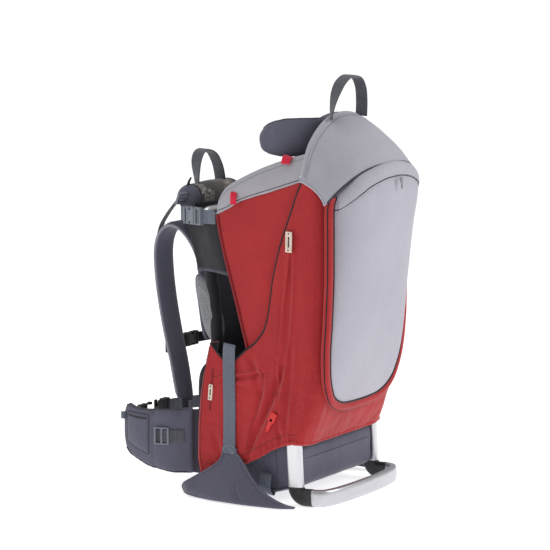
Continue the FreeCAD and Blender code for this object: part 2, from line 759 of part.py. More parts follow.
for side, sign in SIDES:
    keep(common("hip_wing_" + side,
                prism("hip_plan_" + side, "z", side_outline(sign, hip_outline()), (30, 170)),
                prism("hip_side_" + side, "x", hip_side, both_ways(180))))
    keep(webbing("hip_webbing_" + side, sign, [(x, y, hip_z) for x, y in hip_web_line],
                 web.value, across=Z))
keep(fuse("hip_buckle_male",
          box("hm_block", (-49, -24), hip_buckle_y, hip_buckle_z),
          box("hm_tongue", (-26, -6), hip_prong_y, around(hip_z, 4)),
          box("hm_prong_a", (-26, -7), hip_prong_y, (99, 102.5)),
          box("hm_prong_b", (-26, -7), hip_prong_y, (121.5, 125))))
keep(cut("hip_buckle_female",
         box("hf_block", (12, 49), hip_buckle_y, hip_buckle_z),
         box("hf_slot", (10, 38), (277.6, 285.6), around(hip_z, 14))))

# ---- foot stirrups: webbing and a flared sling, tilted about its top edge
sling_top = 94
sling_line = [  # y, z
    (-10, 94), (18, 94), (52, 58), (90, 30), (96, 20), (70, 8), (30, 2), (-80, 2),
    (-152, 2), (-158, 6), (-110, 20), (-70, 40), (-36, 66)]
sling_outline = [(y, z - sling_top) for y, z in sling_line]
for (side, sign), (sling_x, sling_z) in zip(SIDES, ((-158, 92), (153.3, 93.8))):
    stirrup_web = box("stirrup_web_" + side, side_range(sign, 151.6, 153.6), (-9, 17), (96, 286))
    sling = prism("stirrup_sling_" + side, "x", sling_outline, both_ways(2.5))
    place(sling, sling_x, 0, sling_z, FreeCAD.Rotation(Y, -21 * sign))
    keep(group("stirrup_" + side, stirrup_web, sling))


# ---- carry handles, thin webbing arches with narrow feet
def handle(label, foot_y, top_y, foot_z, top_z, half_span):
    steps = 12
    stations = []
    for k in range(steps + 1):
        angle = math.pi * k / steps
        rise = math.sin(angle)
        bulge = 1 + 0.12 * math.sin(2 * min(angle, math.pi - angle))
        stations.append((
            -half_span * math.cos(angle) * bulge,
            foot_y + (top_y - foot_y) * rise,
            foot_z + (top_z - foot_z) * rise ** 0.8,
            web.value * min(1.0, 0.34 + 2.2 * rise),
            web_t.value))
    return strap(label, 1, stations, across=Y)


keep(handle("front_handle", foot_y=150, top_y=155, foot_z=575, top_z=631, half_span=46))
keep(handle("rear_handle", foot_y=-155, top_y=-157, foot_z=715.5, top_z=783, half_span=54))

# ---- side zips and sliders
tape_line = [(-129, 520), (-121, 520), (-81, 178), (-89, 178)]  # y, z
slider_line = [(-131, 516), (-119, 516), (-117, 480), (-127, 480)]  # y, z
keep(group("zipper_tapes", *[
    prism("tape_" + side[0], "x", tape_line, side_range(sign, 150.1, 151.2))
    for side, sign in SIDES]))
for side, sign in SIDES:
    keep(prism("side_zip_slider_" + side, "x", slider_line, side_range(sign, 151.4, 154.4)))
keep(box("pack_zip_slider", (-5, 5), (-288.6, -284.6), (562, 576)))

# ---- side straps and buckles between the frame top and the wings
side_strap_line = [  # x, y, z
    (95, 148, 518), (109, 114, 519.5), (132, 62, 522), (144.5, 41, 523)]
keep(group("side_straps", *[
    webbing("side_web_" + side[0], sign, side_strap_line, web.value, across=Z)
    for side, sign in SIDES]))
side_buckle_out, side_prong_out = (2.2, 13.2), (5.2, 10.2)  # distances off the strap's line
side_buckle_z = (504, 537)


def along_strap(label, sign, run, out, z_range):
    """A block beside the side strap: `run` down its line, `out` outward from it."""
    start, end = [V(x, y, 0) for x, y, _ in (side_strap_line[0], side_strap_line[-1])]
    tangent = (end - start).normalize()
    outward = V(-tangent.y, tangent.x, 0)
    corners = [start + tangent * s + outward * o for s, o in (
        (run[0], out[0]), (run[1], out[0]), (run[1], out[1]), (run[0], out[1]))]
    outline = side_outline(sign, [(corner.x, corner.y) for corner in corners])
    return prism(label, "z", outline, z_range)


for side, sign in SIDES:
    keep(cut("side_buckle_female_" + side,
             along_strap("sbf_block_" + side, sign, (30, 66), side_buckle_out, side_buckle_z),
             along_strap("sbf_slot_" + side, sign, (40, 70), (4.6, 10.8), (508, 533))))
    keep(fuse("side_buckle_male_" + side,
              along_strap("sbm_block_" + side, sign, (68, 84), side_buckle_out, side_buckle_z),
              along_strap("sbm_t_" + side, sign, (48, 70), side_prong_out, (516, 525)),
              along_strap("sbm_p_" + side, sign, (46, 70), side_prong_out, (509, 512)),
              along_strap("sbm_q_" + side, sign, (46, 70), side_prong_out, (529, 532))))

# ---- small webbing tabs: four on the rims, two at the base
tabs = []
for side, sign in SIDES:
    for k, (y, z) in enumerate(((0, 560), (-119, 650))):
        tabs.append(box("rim_tab_%s%d" % (side[0], k), side_range(sign, 145.3, 149.5),
                        around(y, 6), around(z, 9)))
    tabs.append(box("base_tab_" + side[0], side_range(sign, 125.4, 128.8), (-90, -66), (36, 46)))
keep(group("webbing_tabs", *tabs))

# ---- check and write
doc.recompute()
bad = ["%s: %s" % (item.Label, item.State) for item in doc.Objects
       if "Invalid" in item.State or "Error" in item.State]
for item in nodes:
    shape = item.Shape
    if (shape.isNull() or not shape.isValid() or not shape.Solids
            or min(solid.Volume for solid in shape.Solids) <= 0):
        bad.append("%s: shape is not sound" % item.Label)
if bad:
    raise SystemExit("\n".join(bad))
labels = [item.Label for item in nodes]
if len(labels) != len(set(labels)) or len(labels) > 60:
    raise SystemExit("labels: %d, unique %d" % (len(labels), len(set(labels))))
os.makedirs("parts", exist_ok=True)
for old in os.listdir("parts"):
    if old.endswith(".step"):
        os.remove(os.path.join("parts", old))
for item in nodes:
    item.Shape.exportStep(os.path.join("parts", item.Label + ".step"))
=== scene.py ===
import json
import math

import bmesh
import bpy
import numpy as np
from mathutils import Matrix, Vector as V, noise
from mathutils.bvhtree import BVHTree

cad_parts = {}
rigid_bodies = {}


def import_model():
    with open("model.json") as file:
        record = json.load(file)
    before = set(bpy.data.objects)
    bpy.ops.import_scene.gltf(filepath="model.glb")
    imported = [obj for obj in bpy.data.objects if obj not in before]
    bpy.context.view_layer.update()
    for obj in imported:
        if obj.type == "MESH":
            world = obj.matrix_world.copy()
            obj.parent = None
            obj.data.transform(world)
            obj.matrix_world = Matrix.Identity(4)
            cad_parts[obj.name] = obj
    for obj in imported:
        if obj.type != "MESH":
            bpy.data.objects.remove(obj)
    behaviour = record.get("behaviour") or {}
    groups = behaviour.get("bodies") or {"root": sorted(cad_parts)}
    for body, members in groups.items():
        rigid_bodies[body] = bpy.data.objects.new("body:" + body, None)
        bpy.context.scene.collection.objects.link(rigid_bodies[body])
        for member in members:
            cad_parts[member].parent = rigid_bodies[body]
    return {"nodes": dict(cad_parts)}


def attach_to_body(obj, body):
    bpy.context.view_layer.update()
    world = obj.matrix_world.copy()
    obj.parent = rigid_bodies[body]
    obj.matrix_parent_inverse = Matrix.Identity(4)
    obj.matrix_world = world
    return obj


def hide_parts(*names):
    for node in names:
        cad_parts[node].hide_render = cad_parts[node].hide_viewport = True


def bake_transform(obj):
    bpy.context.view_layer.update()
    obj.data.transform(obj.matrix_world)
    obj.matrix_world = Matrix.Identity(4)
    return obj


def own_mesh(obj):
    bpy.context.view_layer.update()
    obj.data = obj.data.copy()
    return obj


for old in list(bpy.data.objects):
    bpy.data.objects.remove(old, do_unlink=True)
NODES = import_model()["nodes"]
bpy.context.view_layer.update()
MM = 0.001
SIDES = (("left", -1), ("right", 1))    # name and sign of x
scene = bpy.context.scene


# ------------------------------------------------------------------ materials
def lin(*rgb):
    """Linear RGBA from sRGB values of 0 to 255."""
    def channel(c):
        c /= 255
        return c / 12.92 if c <= 0.04045 else ((c + 0.055) / 1.055) ** 2.4
    return (*map(channel, rgb), 1.0)


def tint(colour, gain, lift=0.0):
    return tuple(min(1, c * gain + lift) for c in colour[:3]) + (1,)


class Mat:
    """A node material under construction."""

    def __init__(self, name, textured=True):
        self.material = bpy.data.materials.new(name)
        self.material.use_nodes = True
        self.tree = self.material.node_tree
        self.tree.nodes.clear()
        output = self.node("OutputMaterial")
        self.shader = self.node("BsdfPrincipled")
        self.put(output.inputs[0], self.shader.outputs[0])
        if textured:
            self.coord = self.node("TexCoord").outputs["Object"]
        self.normal = None

    def put(self, socket, value):
        if isinstance(value, bpy.types.NodeSocket):
            self.tree.links.new(value, socket)
        else:
            socket.default_value = value

    def fill(self, node, values):
        """Sets inputs, or else properties. An underscore stands for a space in an input's name."""
        for key, value in values.items():
            title = key.replace("_", " ")
            if title in node.inputs:
                self.put(node.inputs[title], value)
            else:
                setattr(node, key, value)

    def node(self, kind, **values):
        node = self.tree.nodes.new("ShaderNode" + kind)
        self.fill(node, values)
        return node

    def scaled(self, scale):
        return self.node("Mapping", Vector=self.coord, Scale=scale).outputs[0]

    def noise(self, scale, detail=3.0, rough=0.55, vector=None):
        return self.node("TexNoise", Scale=scale, Detail=detail, Roughness=rough,
                         Vector=vector or self.coord).outputs["Fac"]

    def remap(self, value, to, over=(0.0, 1.0)):
        """Maps the range `over` to the range `to`."""
        node = self.node("MapRange")
        for i, v in enumerate((value, *over, *to)):
            self.put(node.inputs[i], v)
        return node.outputs[0]

    def math(self, operation, first, second):
        node = self.node("Math", operation=operation)
        self.put(node.inputs[0], first)
        self.put(node.inputs[1], second)
        return node.outputs[0]

    def mix(self, factor, first, second):
        node = self.node("Mix", data_type="RGBA")
        for i, v in ((0, factor), (6, first), (7, second)):
            self.put(node.inputs[i], v)
        return node.outputs[2]

    def edges(self):
        return self.node("NewGeometry").outputs["Pointiness"]

    def bump(self, height, strength, distance):
        """Adds a bump on top of the earlier ones. distance in metres."""
        node = self.node("Bump", Strength=strength, Distance=distance, Height=height)
        if self.normal is not None:
            self.put(node.inputs["Normal"], self.normal)
        self.normal = node.outputs[0]

    def done(self, **values):
        if self.normal is not None:
            values["Normal"] = self.normal
        self.fill(self.shader, values)
        return self.material

    def weave(self, pitch):
        """Threads crossing at right angles on faces of any direction."""
        total = None
        for axis in "XYZ":
            wave = self.node("TexWave", wave_type="BANDS", bands_direction=axis,
                             wave_profile="SIN", Scale=1.0 / (pitch * MM) / 20 * math.pi,
                             Distortion=1.2, Vector=self.coord, Detail_Scale=2.0).outputs["Fac"]
            total = wave if total is None else self.math("ADD", total, wave)
        return self.math("MULTIPLY", total, 0.333)


def cloth(name, base, light, fold=0.35, sheen=0.25, rough=0.82, fold_scale=26.0, heather=0.5,
          thread=0.12):
    """Woven fabric: two yarn tones, thread bump, soft creases and a little wear."""
    m = Mat(name)
    base, light = lin(*base), lin(*light)
    threads = m.weave(pitch=1.1)
    patches = m.noise(scale=7.0, detail=4)
    fine = m.noise(scale=420.0, detail=2, rough=0.6)
    colour = m.mix(m.remap(patches, to=(0, 1), over=(0.35, 0.68)), base, light)
    colour = m.mix(m.remap(fine, to=(0, heather), over=(0.3, 0.75)), colour,
                   tint(light, gain=1.45))
    colour = m.mix(m.remap(threads, to=(thread, 0), over=(0.15, 0.6)), colour,
                   tint(base, gain=0.62))
    colour = m.mix(m.remap(m.edges(), to=(0, 0.35), over=(0.53, 0.62)), colour,
                   tint(light, gain=1.7, lift=0.02))
    m.bump(threads, strength=thread * 0.7, distance=0.0003)
    m.bump(fine, strength=0.08, distance=0.0005)
    crease = m.noise(scale=fold_scale, detail=4, rough=0.5, vector=m.scaled((1.0, 1.0, 0.55)))
    m.bump(crease, strength=fold, distance=0.006)
    m.bump(m.noise(scale=fold_scale * 3.2, rough=0.5), strength=fold * 0.35, distance=0.0025)
    return m.done(Base_Color=colour, Roughness=m.remap(patches, to=(rough - 0.06, rough + 0.06)),
                  Sheen_Weight=sheen, Sheen_Roughness=0.45, Specular_IOR_Level=0.25)


def webbing(name, base, light, pitch=2.1):
    """Coarse weave with a finer one over it."""
    m = Mat(name)
    base, light = lin(*base), lin(*light)
    coarse = m.weave(pitch=pitch)
    fine = m.weave(pitch=0.8)
    fuzz = m.noise(scale=300, detail=2)
    colour = m.mix(m.remap(coarse, to=(0, 0.8), over=(0.25, 0.75)), base, light)
    colour = m.mix(m.remap(fuzz, to=(0, 0.35), over=(0.35, 0.7)), colour, tint(base, gain=0.6))
    m.bump(coarse, strength=0.45, distance=0.0006)
    m.bump(fine, strength=0.2, distance=0.0003)
    return m.done(Base_Color=colour, Roughness=m.remap(fuzz, to=(0.55, 0.75)),
                  Sheen_Weight=0.2, Specular_IOR_Level=0.35)


def mesh_fabric(name, face, hole):
    """Spacer mesh: rows of small dark holes in a knitted face."""
    m = Mat(name)
    face, hole = lin(*face), lin(*hole)
    cells = m.node("TexVoronoi", feature="F1", Scale=1 / (3.2 * MM), Randomness=0.28,
                   Vector=m.coord).outputs["Distance"]
    colour = m.mix(m.remap(cells, to=(1, 0), over=(0.18, 0.42)), face, hole)
    colour = m.mix(m.remap(m.noise(scale=500, detail=2), to=(0, 0.5), over=(0.4, 0.7)), colour,
                   tint(face, gain=1.3))
    m.bump(cells, strength=0.6, distance=0.0011)
    m.bump(m.noise(scale=30), strength=0.25, distance=0.004)
    return m.done(Base_Color=colour, Roughness=0.9, Sheen_Weight=0.3, Specular_IOR_Level=0.15)


def plastic(name, base, rough=0.42, wear=0.35):
    """Grained plastic with paler edges."""
    m = Mat(name)
    base = lin(*base)
    grain = m.noise(scale=900.0, detail=2, rough=0.6)
    patches = m.noise(scale=30)
    body = m.mix(m.remap(patches, to=(0, 0.3)), base, tint(base, gain=0.8))
    colour = m.mix(m.remap(m.edges(), to=(0, wear), over=(0.52, 0.6)), body,
                   tint(base, gain=2.2, lift=0.03))
    m.bump(grain, strength=0.25, distance=0.0002)
    return m.done(Base_Color=colour, Roughness=m.remap(patches, to=(rough - 0.05, rough + 0.1)),
                  Specular_IOR_Level=0.5)


def metal(name, base, rough=0.3, brush=(1, 1, 0.03)):
    """Brushed metal. The small entry of brush is the axis its lines run along."""
    m = Mat(name)
    base = lin(*base)
    lines = m.noise(scale=700.0, rough=0.6, vector=m.scaled(brush))
    colour = m.mix(m.remap(lines, to=(0, 0.35), over=(0.35, 0.65)), base, tint(base, gain=0.8))
    colour = m.mix(m.remap(m.noise(scale=9), to=(0, 0.15), over=(0.4, 0.7)), colour,
                   tint(base, gain=0.75))
    m.bump(lines, strength=0.12, distance=0.0002)
    return m.done(Base_Color=colour, Metallic=1.0,
                  Roughness=m.remap(lines, to=(rough - 0.06, rough + 0.1)))


def leaves(name, base, dark, white):
    """Soft fleece with a scribbled leaf print."""
    m = Mat(name)
    base, dark, white = lin(*base), lin(*dark), lin(*white)
    warp = m.node("TexNoise", Scale=38.0, Detail=2.0, Vector=m.coord)
    bent = m.node("Mix", data_type="VECTOR")
    # inputs: 0 how far the pattern is warped, 4 and 5 the two vectors
    for i, v in ((0, 0.022), (4, m.coord), (5, warp.outputs["Color"])):
        m.put(bent.inputs[i], v)

    def veins(scale, start, end):
        cells = m.node("TexVoronoi", feature="DISTANCE_TO_EDGE", Scale=scale,
                       Vector=bent.outputs[1])
        return m.remap(cells.outputs["Distance"], to=(1, 0), over=(start, end))
    patch = m.remap(m.noise(scale=34.0, detail=2), to=(0, 1), over=(0.50, 0.58))
    small = m.math("MULTIPLY", veins(scale=190.0, start=0.02, end=0.06), 0.8)
    line = m.math("MAXIMUM", veins(scale=110.0, start=0.03, end=0.075), small)
    fuzz = m.noise(scale=600)
    tone = m.mix(m.remap(m.noise(scale=20), to=(0, 1), over=(0.35, 0.65)), base, dark)
    colour = m.mix(m.math("MULTIPLY", line, patch), tone, white)
    colour = m.mix(m.remap(fuzz, to=(0, 0.4), over=(0.4, 0.7)), colour, dark)
    m.bump(fuzz, strength=0.35, distance=0.0008)
    m.bump(m.noise(scale=35), strength=0.4, distance=0.004)
    return m.done(Base_Color=colour, Roughness=0.95, Sheen_Weight=0.5)


RED = cloth("red_softshell", (154, 37, 41), (171, 45, 48), fold=0.30, fold_scale=20, thread=0.08)
RED_DARK = cloth("red_dark", (126, 30, 36), (140, 36, 40), fold=0.2)
GREY = cloth("grey_pack_cloth", (170, 168, 179), (180, 178, 188), fold=0.10, fold_scale=12,
             heather=0.25, sheen=0.15, rough=0.72, thread=0.04)
GREY_RIM = cloth("grey_rim_cloth", (160, 158, 165), (172, 170, 176), fold=0.25, heather=0.3)
CHARCOAL = cloth("charcoal_cloth", (87, 87, 103), (100, 100, 115), heather=0.35)
CHARCOAL_DARK = cloth("charcoal_dark", (64, 64, 75), (76, 76, 87), fold=0.3, heather=0.3)
BLACK = cloth("black_cloth", (32, 32, 36), (42, 42, 47), fold=0.3, heather=0.2)
LINING = cloth("lining", (66, 66, 74), (78, 78, 86), fold=0.3)
MESH = mesh_fabric("spacer_mesh", (140, 142, 146), (70, 72, 76))
MESH_DARK = mesh_fabric("spacer_mesh_dark", (104, 105, 112), (50, 51, 56))
WEB_BLUE = webbing("webbing_blue_grey", (92, 99, 114), (113, 119, 134))
WEB_DARK = webbing("webbing_dark", (76, 78, 86), (98, 100, 108))
WEB_PINK = webbing("webbing_pink", (214, 8, 52), (236, 22, 70), pitch=1.4)
BLACK_PLASTIC = plastic("black_plastic", (34, 34, 37))
GREY_PLASTIC = plastic("grey_plastic", (112, 118, 128), wear=0.2)
BEIGE_PLASTIC = plastic("puller_beige", (232, 214, 196), rough=0.35, wear=0.1)
RED_PLASTIC = plastic("red_gloss", (214, 26, 30), rough=0.16, wear=0.1)
RUBBER = plastic("rubber", (30, 30, 32), rough=0.75, wear=0.25)
ALUMINIUM = metal("anodised_aluminium", (226, 227, 231), rough=0.34)
ALUMINIUM_X = metal("anodised_aluminium_bow", (206, 207, 212), rough=0.36, brush=(0.03, 1, 1))
STEEL = metal("steel", (150, 150, 155))
LEAF_PRINT = leaves("leaf_print", (98, 88, 86), (74, 66, 66), (226, 220, 208))
SEAM = cloth("seam_dark", (58, 56, 66), (66, 64, 74), fold=0.05)
SEAM_RED = cloth("seam_red_dark", (74, 22, 28), (84, 26, 32), fold=0.05)
PIPING = cloth("piping_black", (30, 26, 30), (40, 34, 38), fold=0.05)
SEAM_GREY = cloth("seam_grey", (112, 110, 124), (122, 120, 134), fold=0.05)
THREAD_RED = webbing("thread_red", (196, 74, 74), (206, 86, 84), pitch=0.6)
THREAD_GREY = webbing("thread_grey", (196, 194, 204), (206, 204, 212), pitch=0.6)
THREAD_DARK = webbing("thread_dark", (118, 118, 134), (130, 130, 146), pitch=0.6)
PIPING_GREY = cloth("piping_grey", (128, 126, 138), (142, 140, 152), fold=0.05)
PULLER_GREY = plastic("puller_grey", (150, 150, 160), wear=0.1)


# ------------------------------------------------------------------ numbers and points
def smooth01(x):
    x = min(1.0, max(0.0, x))
    return x * x * (3 - 2 * x)


def wob(a, b, c=0.0):
    """Smooth noise that makes cloth uneven."""
    return noise.noise(V((a, b, c)))


def turn(count):
    return np.linspace(0, 2 * math.pi, count, endpoint=False)


def at_x(x, pairs):
    return [(x, y, z) for y, z in pairs]


def mirrored(points):
    """A half outline that ends on the middle plane, and its mirror image in x."""
    return points + [(-x, *rest) for x, *rest in points[-2::-1]]


def spline(points, count, closed=False):
    """A smooth curve through points, resampled evenly by its length in the first 3 columns."""
    P = np.array(points, float)
    n = len(P)
    fine = []
    for i in range(n if closed else n - 1):
        p1, p2 = P[i], P[(i + 1) % n]
        p0 = P[(i - 1) % n] if closed or i > 0 else 2 * P[0] - P[1]
        p3 = P[(i + 2) % n] if closed or i + 2 < n else 2 * P[-1] - P[-2]
        for k in range(12):
            t = k / 12
            fine.append(0.5 * (2 * p1 + (p2 - p0) * t + (2 * p0 - 5 * p1 + 4 * p2 - p3) * t * t
                               + (-p0 + 3 * p1 - 3 * p2 + p3) * t ** 3))
    fine.append(P[0] if closed else P[-1])
    fine = np.array(fine)
    run = np.r_[0, np.cumsum(np.linalg.norm(np.diff(fine[:, :3], axis=0), axis=1))]
    stops = np.linspace(0, run[-1], count + 1 if closed else count)
    result = np.array([np.interp(stops, run, fine[:, k]) for k in range(P.shape[1])]).T
    return result[:-1] if closed else result


def oval(width, height, power=2.6, count=20):
    """Points of a superellipse: power 2 is an ellipse, more is squarer."""
    points = []
    for k in range(count):
        c, s = math.cos(2 * math.pi * k / count), math.sin(2 * math.pi * k / count)
        points.append((width / 2 * math.copysign(abs(c) ** (2 / power), c),
                       height / 2 * math.copysign(abs(s) ** (2 / power), s)))
    return points


def scale_oval(points, wide, high):
    return [(a * wide, b * high) for a, b in points]


# ------------------------------------------------------------------ mesh helpers
def attach(obj, body="pack", replaces=None):
    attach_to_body(obj, body)
    if replaces:
        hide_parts(replaces)
    return obj


def link(name, mesh):
    obj = bpy.data.objects.new(name, mesh)
    scene.collection.objects.link(obj)
    return obj


def shade_smooth(mesh):
    mesh.polygons.foreach_set("use_smooth", [True] * len(mesh.polygons))


def make(name, verts, faces, mats):
    mesh = bpy.data.meshes.new(name)
    mesh.from_pydata([tuple(float(c) * MM for c in p) for p in verts], [], faces)
    mesh.update()
    obj = link(name, mesh)
    for mat in (mats if isinstance(mats, (list, tuple)) else [mats]):
        mesh.materials.append(mat)
    shade_smooth(mesh)
    return obj


def tidy(obj):
    """Merges doubled points and turns the faces outward."""
    bm = bmesh.new()
    bm.from_mesh(obj.data)
    bmesh.ops.remove_doubles(bm, verts=bm.verts, dist=0.00002)
    bmesh.ops.recalc_face_normals(bm, faces=bm.faces)
    bm.to_mesh(obj.data)
    bm.free()
    obj.data.update()
    return obj


def face_towards(obj, direction):
    if sum(p.normal.dot(V(direction)) for p in obj.data.polygons) < 0:
        obj.data.flip_normals()


def apply(obj):
    depsgraph = bpy.context.evaluated_depsgraph_get()
    mesh = bpy.data.meshes.new_from_object(obj.evaluated_get(depsgraph))
    obj.modifiers.clear()
    old = obj.data
    obj.data = mesh
    mesh.name = old.name
    return obj


def add_subsurf(obj):
    mod = obj.modifiers.new("sub", "SUBSURF")
    mod.levels = mod.render_levels = 1


def subsurf(obj):
    add_subsurf(obj)
    return apply(obj)


def solid(obj, thick, offset=-1.0, smooth=True, inner=None):
    """Gives a sheet thickness. inner is the step to the material slot of its far face."""
    mod = obj.modifiers.new("solid", "SOLIDIFY")
    mod.thickness = thick * MM
    mod.offset = offset
    mod.use_even_offset = False
    if inner is not None:
        mod.material_offset = inner
    if smooth:
        add_subsurf(obj)
    return apply(obj)


def quads(rows, width, around):
    return [(i * width + j, i * width + (j + 1) % width,
             (i + 1) * width + (j + 1) % width, (i + 1) * width + j)
            for i in range(rows - 1) for j in range(width if around else width - 1)]


def grid(name, rows, mats, around=False, caps=False):
    """A skin over rows of points; around joins each row into a ring, caps close both ends."""
    count, width = len(rows), len(rows[0])
    verts = [p for row in rows for p in row]
    faces = quads(count, width, around)
    if caps:
        for i, flip in ((0, True), (count - 1, False)):
            hub = len(verts)
            verts.append(tuple(np.mean(np.array(rows[i], float), axis=0)))
            for j in range(width):
                a, b = i * width + j, i * width + (j + 1) % width
                faces.append((b, a, hub) if flip else (a, b, hub))
    return tidy(make(name, verts, faces, mats))


def frames(path, across=None, closed=False):
    """(point, width direction, normal) along a path. across is one direction or a list."""
    points = [V(p[:3]) for p in path]
    count = len(points)
    stations, wide = [], None
    for i, point in enumerate(points):
        ahead = points[(i + 1) % count] if closed or i + 1 < count else point
        behind = points[i - 1] if closed or i > 0 else point
        along = (ahead - behind).normalized()
        if across is not None:
            guide = across[i] if isinstance(across, list) else across
        elif wide is None:
            guide = (0, 0, 1) if abs(along.z) < 0.9 else (1, 0, 0)
        else:
            guide = wide
        guide = V(guide)
        wide = (guide - along * guide.dot(along)).normalized()
        stations.append((point, wide, along.cross(wide)))
    return stations


def sweep(name, path, across, section, mat, closed=False):
    """section is (along width, along normal) points, or a function of index and is-an-end."""
    stations = frames(path, across, closed)
    rows = []
    for i, (point, wide, normal) in enumerate(stations):
        outline = section(i, i in (0, len(stations) - 1)) if callable(section) else section
        rows.append([tuple(point + wide * a + normal * b) for a, b in outline])
    if closed:
        rows.append(rows[0])
    return grid(name, rows, mat, around=True, caps=not closed)


def cord(name, path, radius, mat, sides=8, closed=False):
    return sweep(name, path, None, oval(2 * radius, 2 * radius, 2.0, sides), mat, closed)


def piping(name, path, count, radius, mat, body="pack"):
    attach(cord(name, spline(path, count, closed=True), radius, mat, 7, True), body)


def ribbon(name, points, across, width, thick, mat, count):
    """Flat webbing. across may be a function of the fraction of the way along."""
    if callable(across):
        across = [across(i / (count - 1)) for i in range(count)]
    return sweep(name, spline(points, count), across,
                 lambda i, end: oval(width * (0.97 if end else 1.0), thick, 5.0, 14), mat)


def mirror(obj, name):
    mesh = obj.data.copy()
    mesh.name = name
    for v in mesh.vertices:
        v.co.x = -v.co.x
    mesh.flip_normals()
    return link(name, mesh)


def attach_pair(left, bodies=("foot_left", "foot_right"), replaces=(None, None)):
    """Attaches a left piece and its mirrored twin."""
    right = mirror(left, left.name.replace("left", "right"))
    attach(left, bodies[0], replaces[0])
    attach(right, bodies[1], replaces[1])


def surface_of(obj):
    mesh = obj.data
    return BVHTree.FromPolygons([v.co.copy() for v in mesh.vertices],
                                [tuple(p.vertices) for p in mesh.polygons])


def onto(surface, points, lift=0.4, ray=None):
    """Points laid on a surface, with its normals. A ray direction picks the side."""
    reach = 60.0
    laid, normals = [], []
    for p in points:
        start = V((p[0] * MM, p[1] * MM, p[2] * MM))
        hit = None
        if ray is not None:
            way = V(ray).normalized()
            hit, normal, *_ = surface.ray_cast(start - way * reach * MM, way, 2 * reach * MM)
        if hit is None:
            hit, normal, *_ = surface.find_nearest(start)
        if ray is not None and normal.dot(V(ray)) > 0:
            normal = -normal
        laid.append(tuple((hit + normal * lift * MM) * 1000))
        normals.append(tuple(normal))
    return laid, normals


def stitches(name, points, normals, mat, pitch=4.4, size=2.8):
    """Short raised threads in a row."""
    radius = 0.42
    # (place along the thread, share of the radius, lift off the cloth)
    stations = ((-0.5, 0.35, -0.25), (-0.2, 1.0, 0.35), (0.2, 1.0, 0.35), (0.5, 0.35, -0.25))
    P = np.array(points, float)
    N = np.array(normals, float)
    run = np.r_[0, np.cumsum(np.linalg.norm(np.diff(P, axis=0), axis=1))]

    def sample(at, table):
        return V([np.interp(at, run, table[:, k]) for k in range(3)])
    verts, faces = [], []
    for at in np.arange(pitch / 2, run[-1] - pitch / 2, pitch):
        centre = sample(at, P)
        normal = sample(at, N).normalized()
        along = (sample(at + 0.5, P) - centre).normalized()
        wide = along.cross(normal)
        first = len(verts)
        for x, share, lift in stations:
            for angle in [2 * math.pi * a / 5 for a in range(5)]:
                verts.append(tuple(centre + along * size * x
                                   + normal * (lift + radius * share * math.sin(angle))
                                   + wide * radius * share * math.cos(angle)))
        for i in range(3):
            for a in range(5):
                q = first + i * 5
                faces.append((q + a, q + (a + 1) % 5, q + 5 + (a + 1) % 5, q + 5 + a))
        faces.append(tuple(first + a for a in range(5))[::-1])
        faces.append(tuple(first + 15 + a for a in range(5)))
    return make(name, verts, faces, mat)


def seam(name, surface, points, mat=None, radius=0.8, lift=0.1, count=60, thread=None,
         offset=None, closed=False, ray=None, body="pack"):
    """A sewn line: a cord along the surface, a row of stitches beside it, or both."""
    path = spline(points, count, closed)
    if mat is not None:
        laid, _ = onto(surface, path, lift, ray)
        attach(cord(name, laid, radius, mat, 6, closed), body)
    if thread is not None:
        beside = [tuple(V(p) + V(offset)) for p in path] if offset else path
        attach(stitches(name + ".thread", *onto(surface, beside, 0.0, ray), thread), body)


def puff(obj, pressure, cap, voxel, smooth=True):
    """Inflates a closed piece with a short cloth run. No point moves further than cap."""
    last_frame = 20
    stiffness = 8.0
    mod = obj.modifiers.new("re", "REMESH")
    mod.mode = "VOXEL"
    mod.voxel_size = voxel * MM
    mats = [slot.material for slot in obj.material_slots]
    apply(obj)
    # the remesh may drop the materials
    if not obj.data.materials:
        for mat in mats:
            obj.data.materials.append(mat)
    mesh = obj.data

    def coords(source):
        flat = np.empty(len(mesh.vertices) * 3)
        source.vertices.foreach_get("co", flat)
        return flat.reshape(-1, 3)
    rest = coords(mesh)
    sim = obj.modifiers.new("cloth", "CLOTH")
    settings = sim.settings
    settings.quality = 5
    settings.mass = 0.25
    settings.tension_stiffness = settings.compression_stiffness = stiffness
    settings.shear_stiffness = stiffness
    settings.bending_stiffness = 1.2
    settings.use_pressure = True
    settings.uniform_pressure_force = pressure
    settings.effector_weights.gravity = 0
    sim.point_cache.frame_start = 1
    sim.point_cache.frame_end = last_frame
    for frame in range(1, last_frame + 1):
        scene.frame_set(frame)
    depsgraph = bpy.context.evaluated_depsgraph_get()
    moved = coords(obj.evaluated_get(depsgraph).data)
    obj.modifiers.clear()
    scene.frame_set(1)
    shift = moved - rest
    length = np.linalg.norm(shift, axis=1)
    limit = cap * MM
    shift *= np.where(length > limit, limit / np.maximum(length, 1e-9), 1.0)[:, None]
    shift[~np.isfinite(shift)] = 0
    mesh.vertices.foreach_set("co", (rest + shift).ravel())
    mesh.update()
    mod = obj.modifiers.new("sm", "SMOOTH")
    mod.factor = 0.5
    mod.iterations = 3
    if smooth:
        add_subsurf(obj)
    apply(obj)
    shade_smooth(obj.data)
    return obj


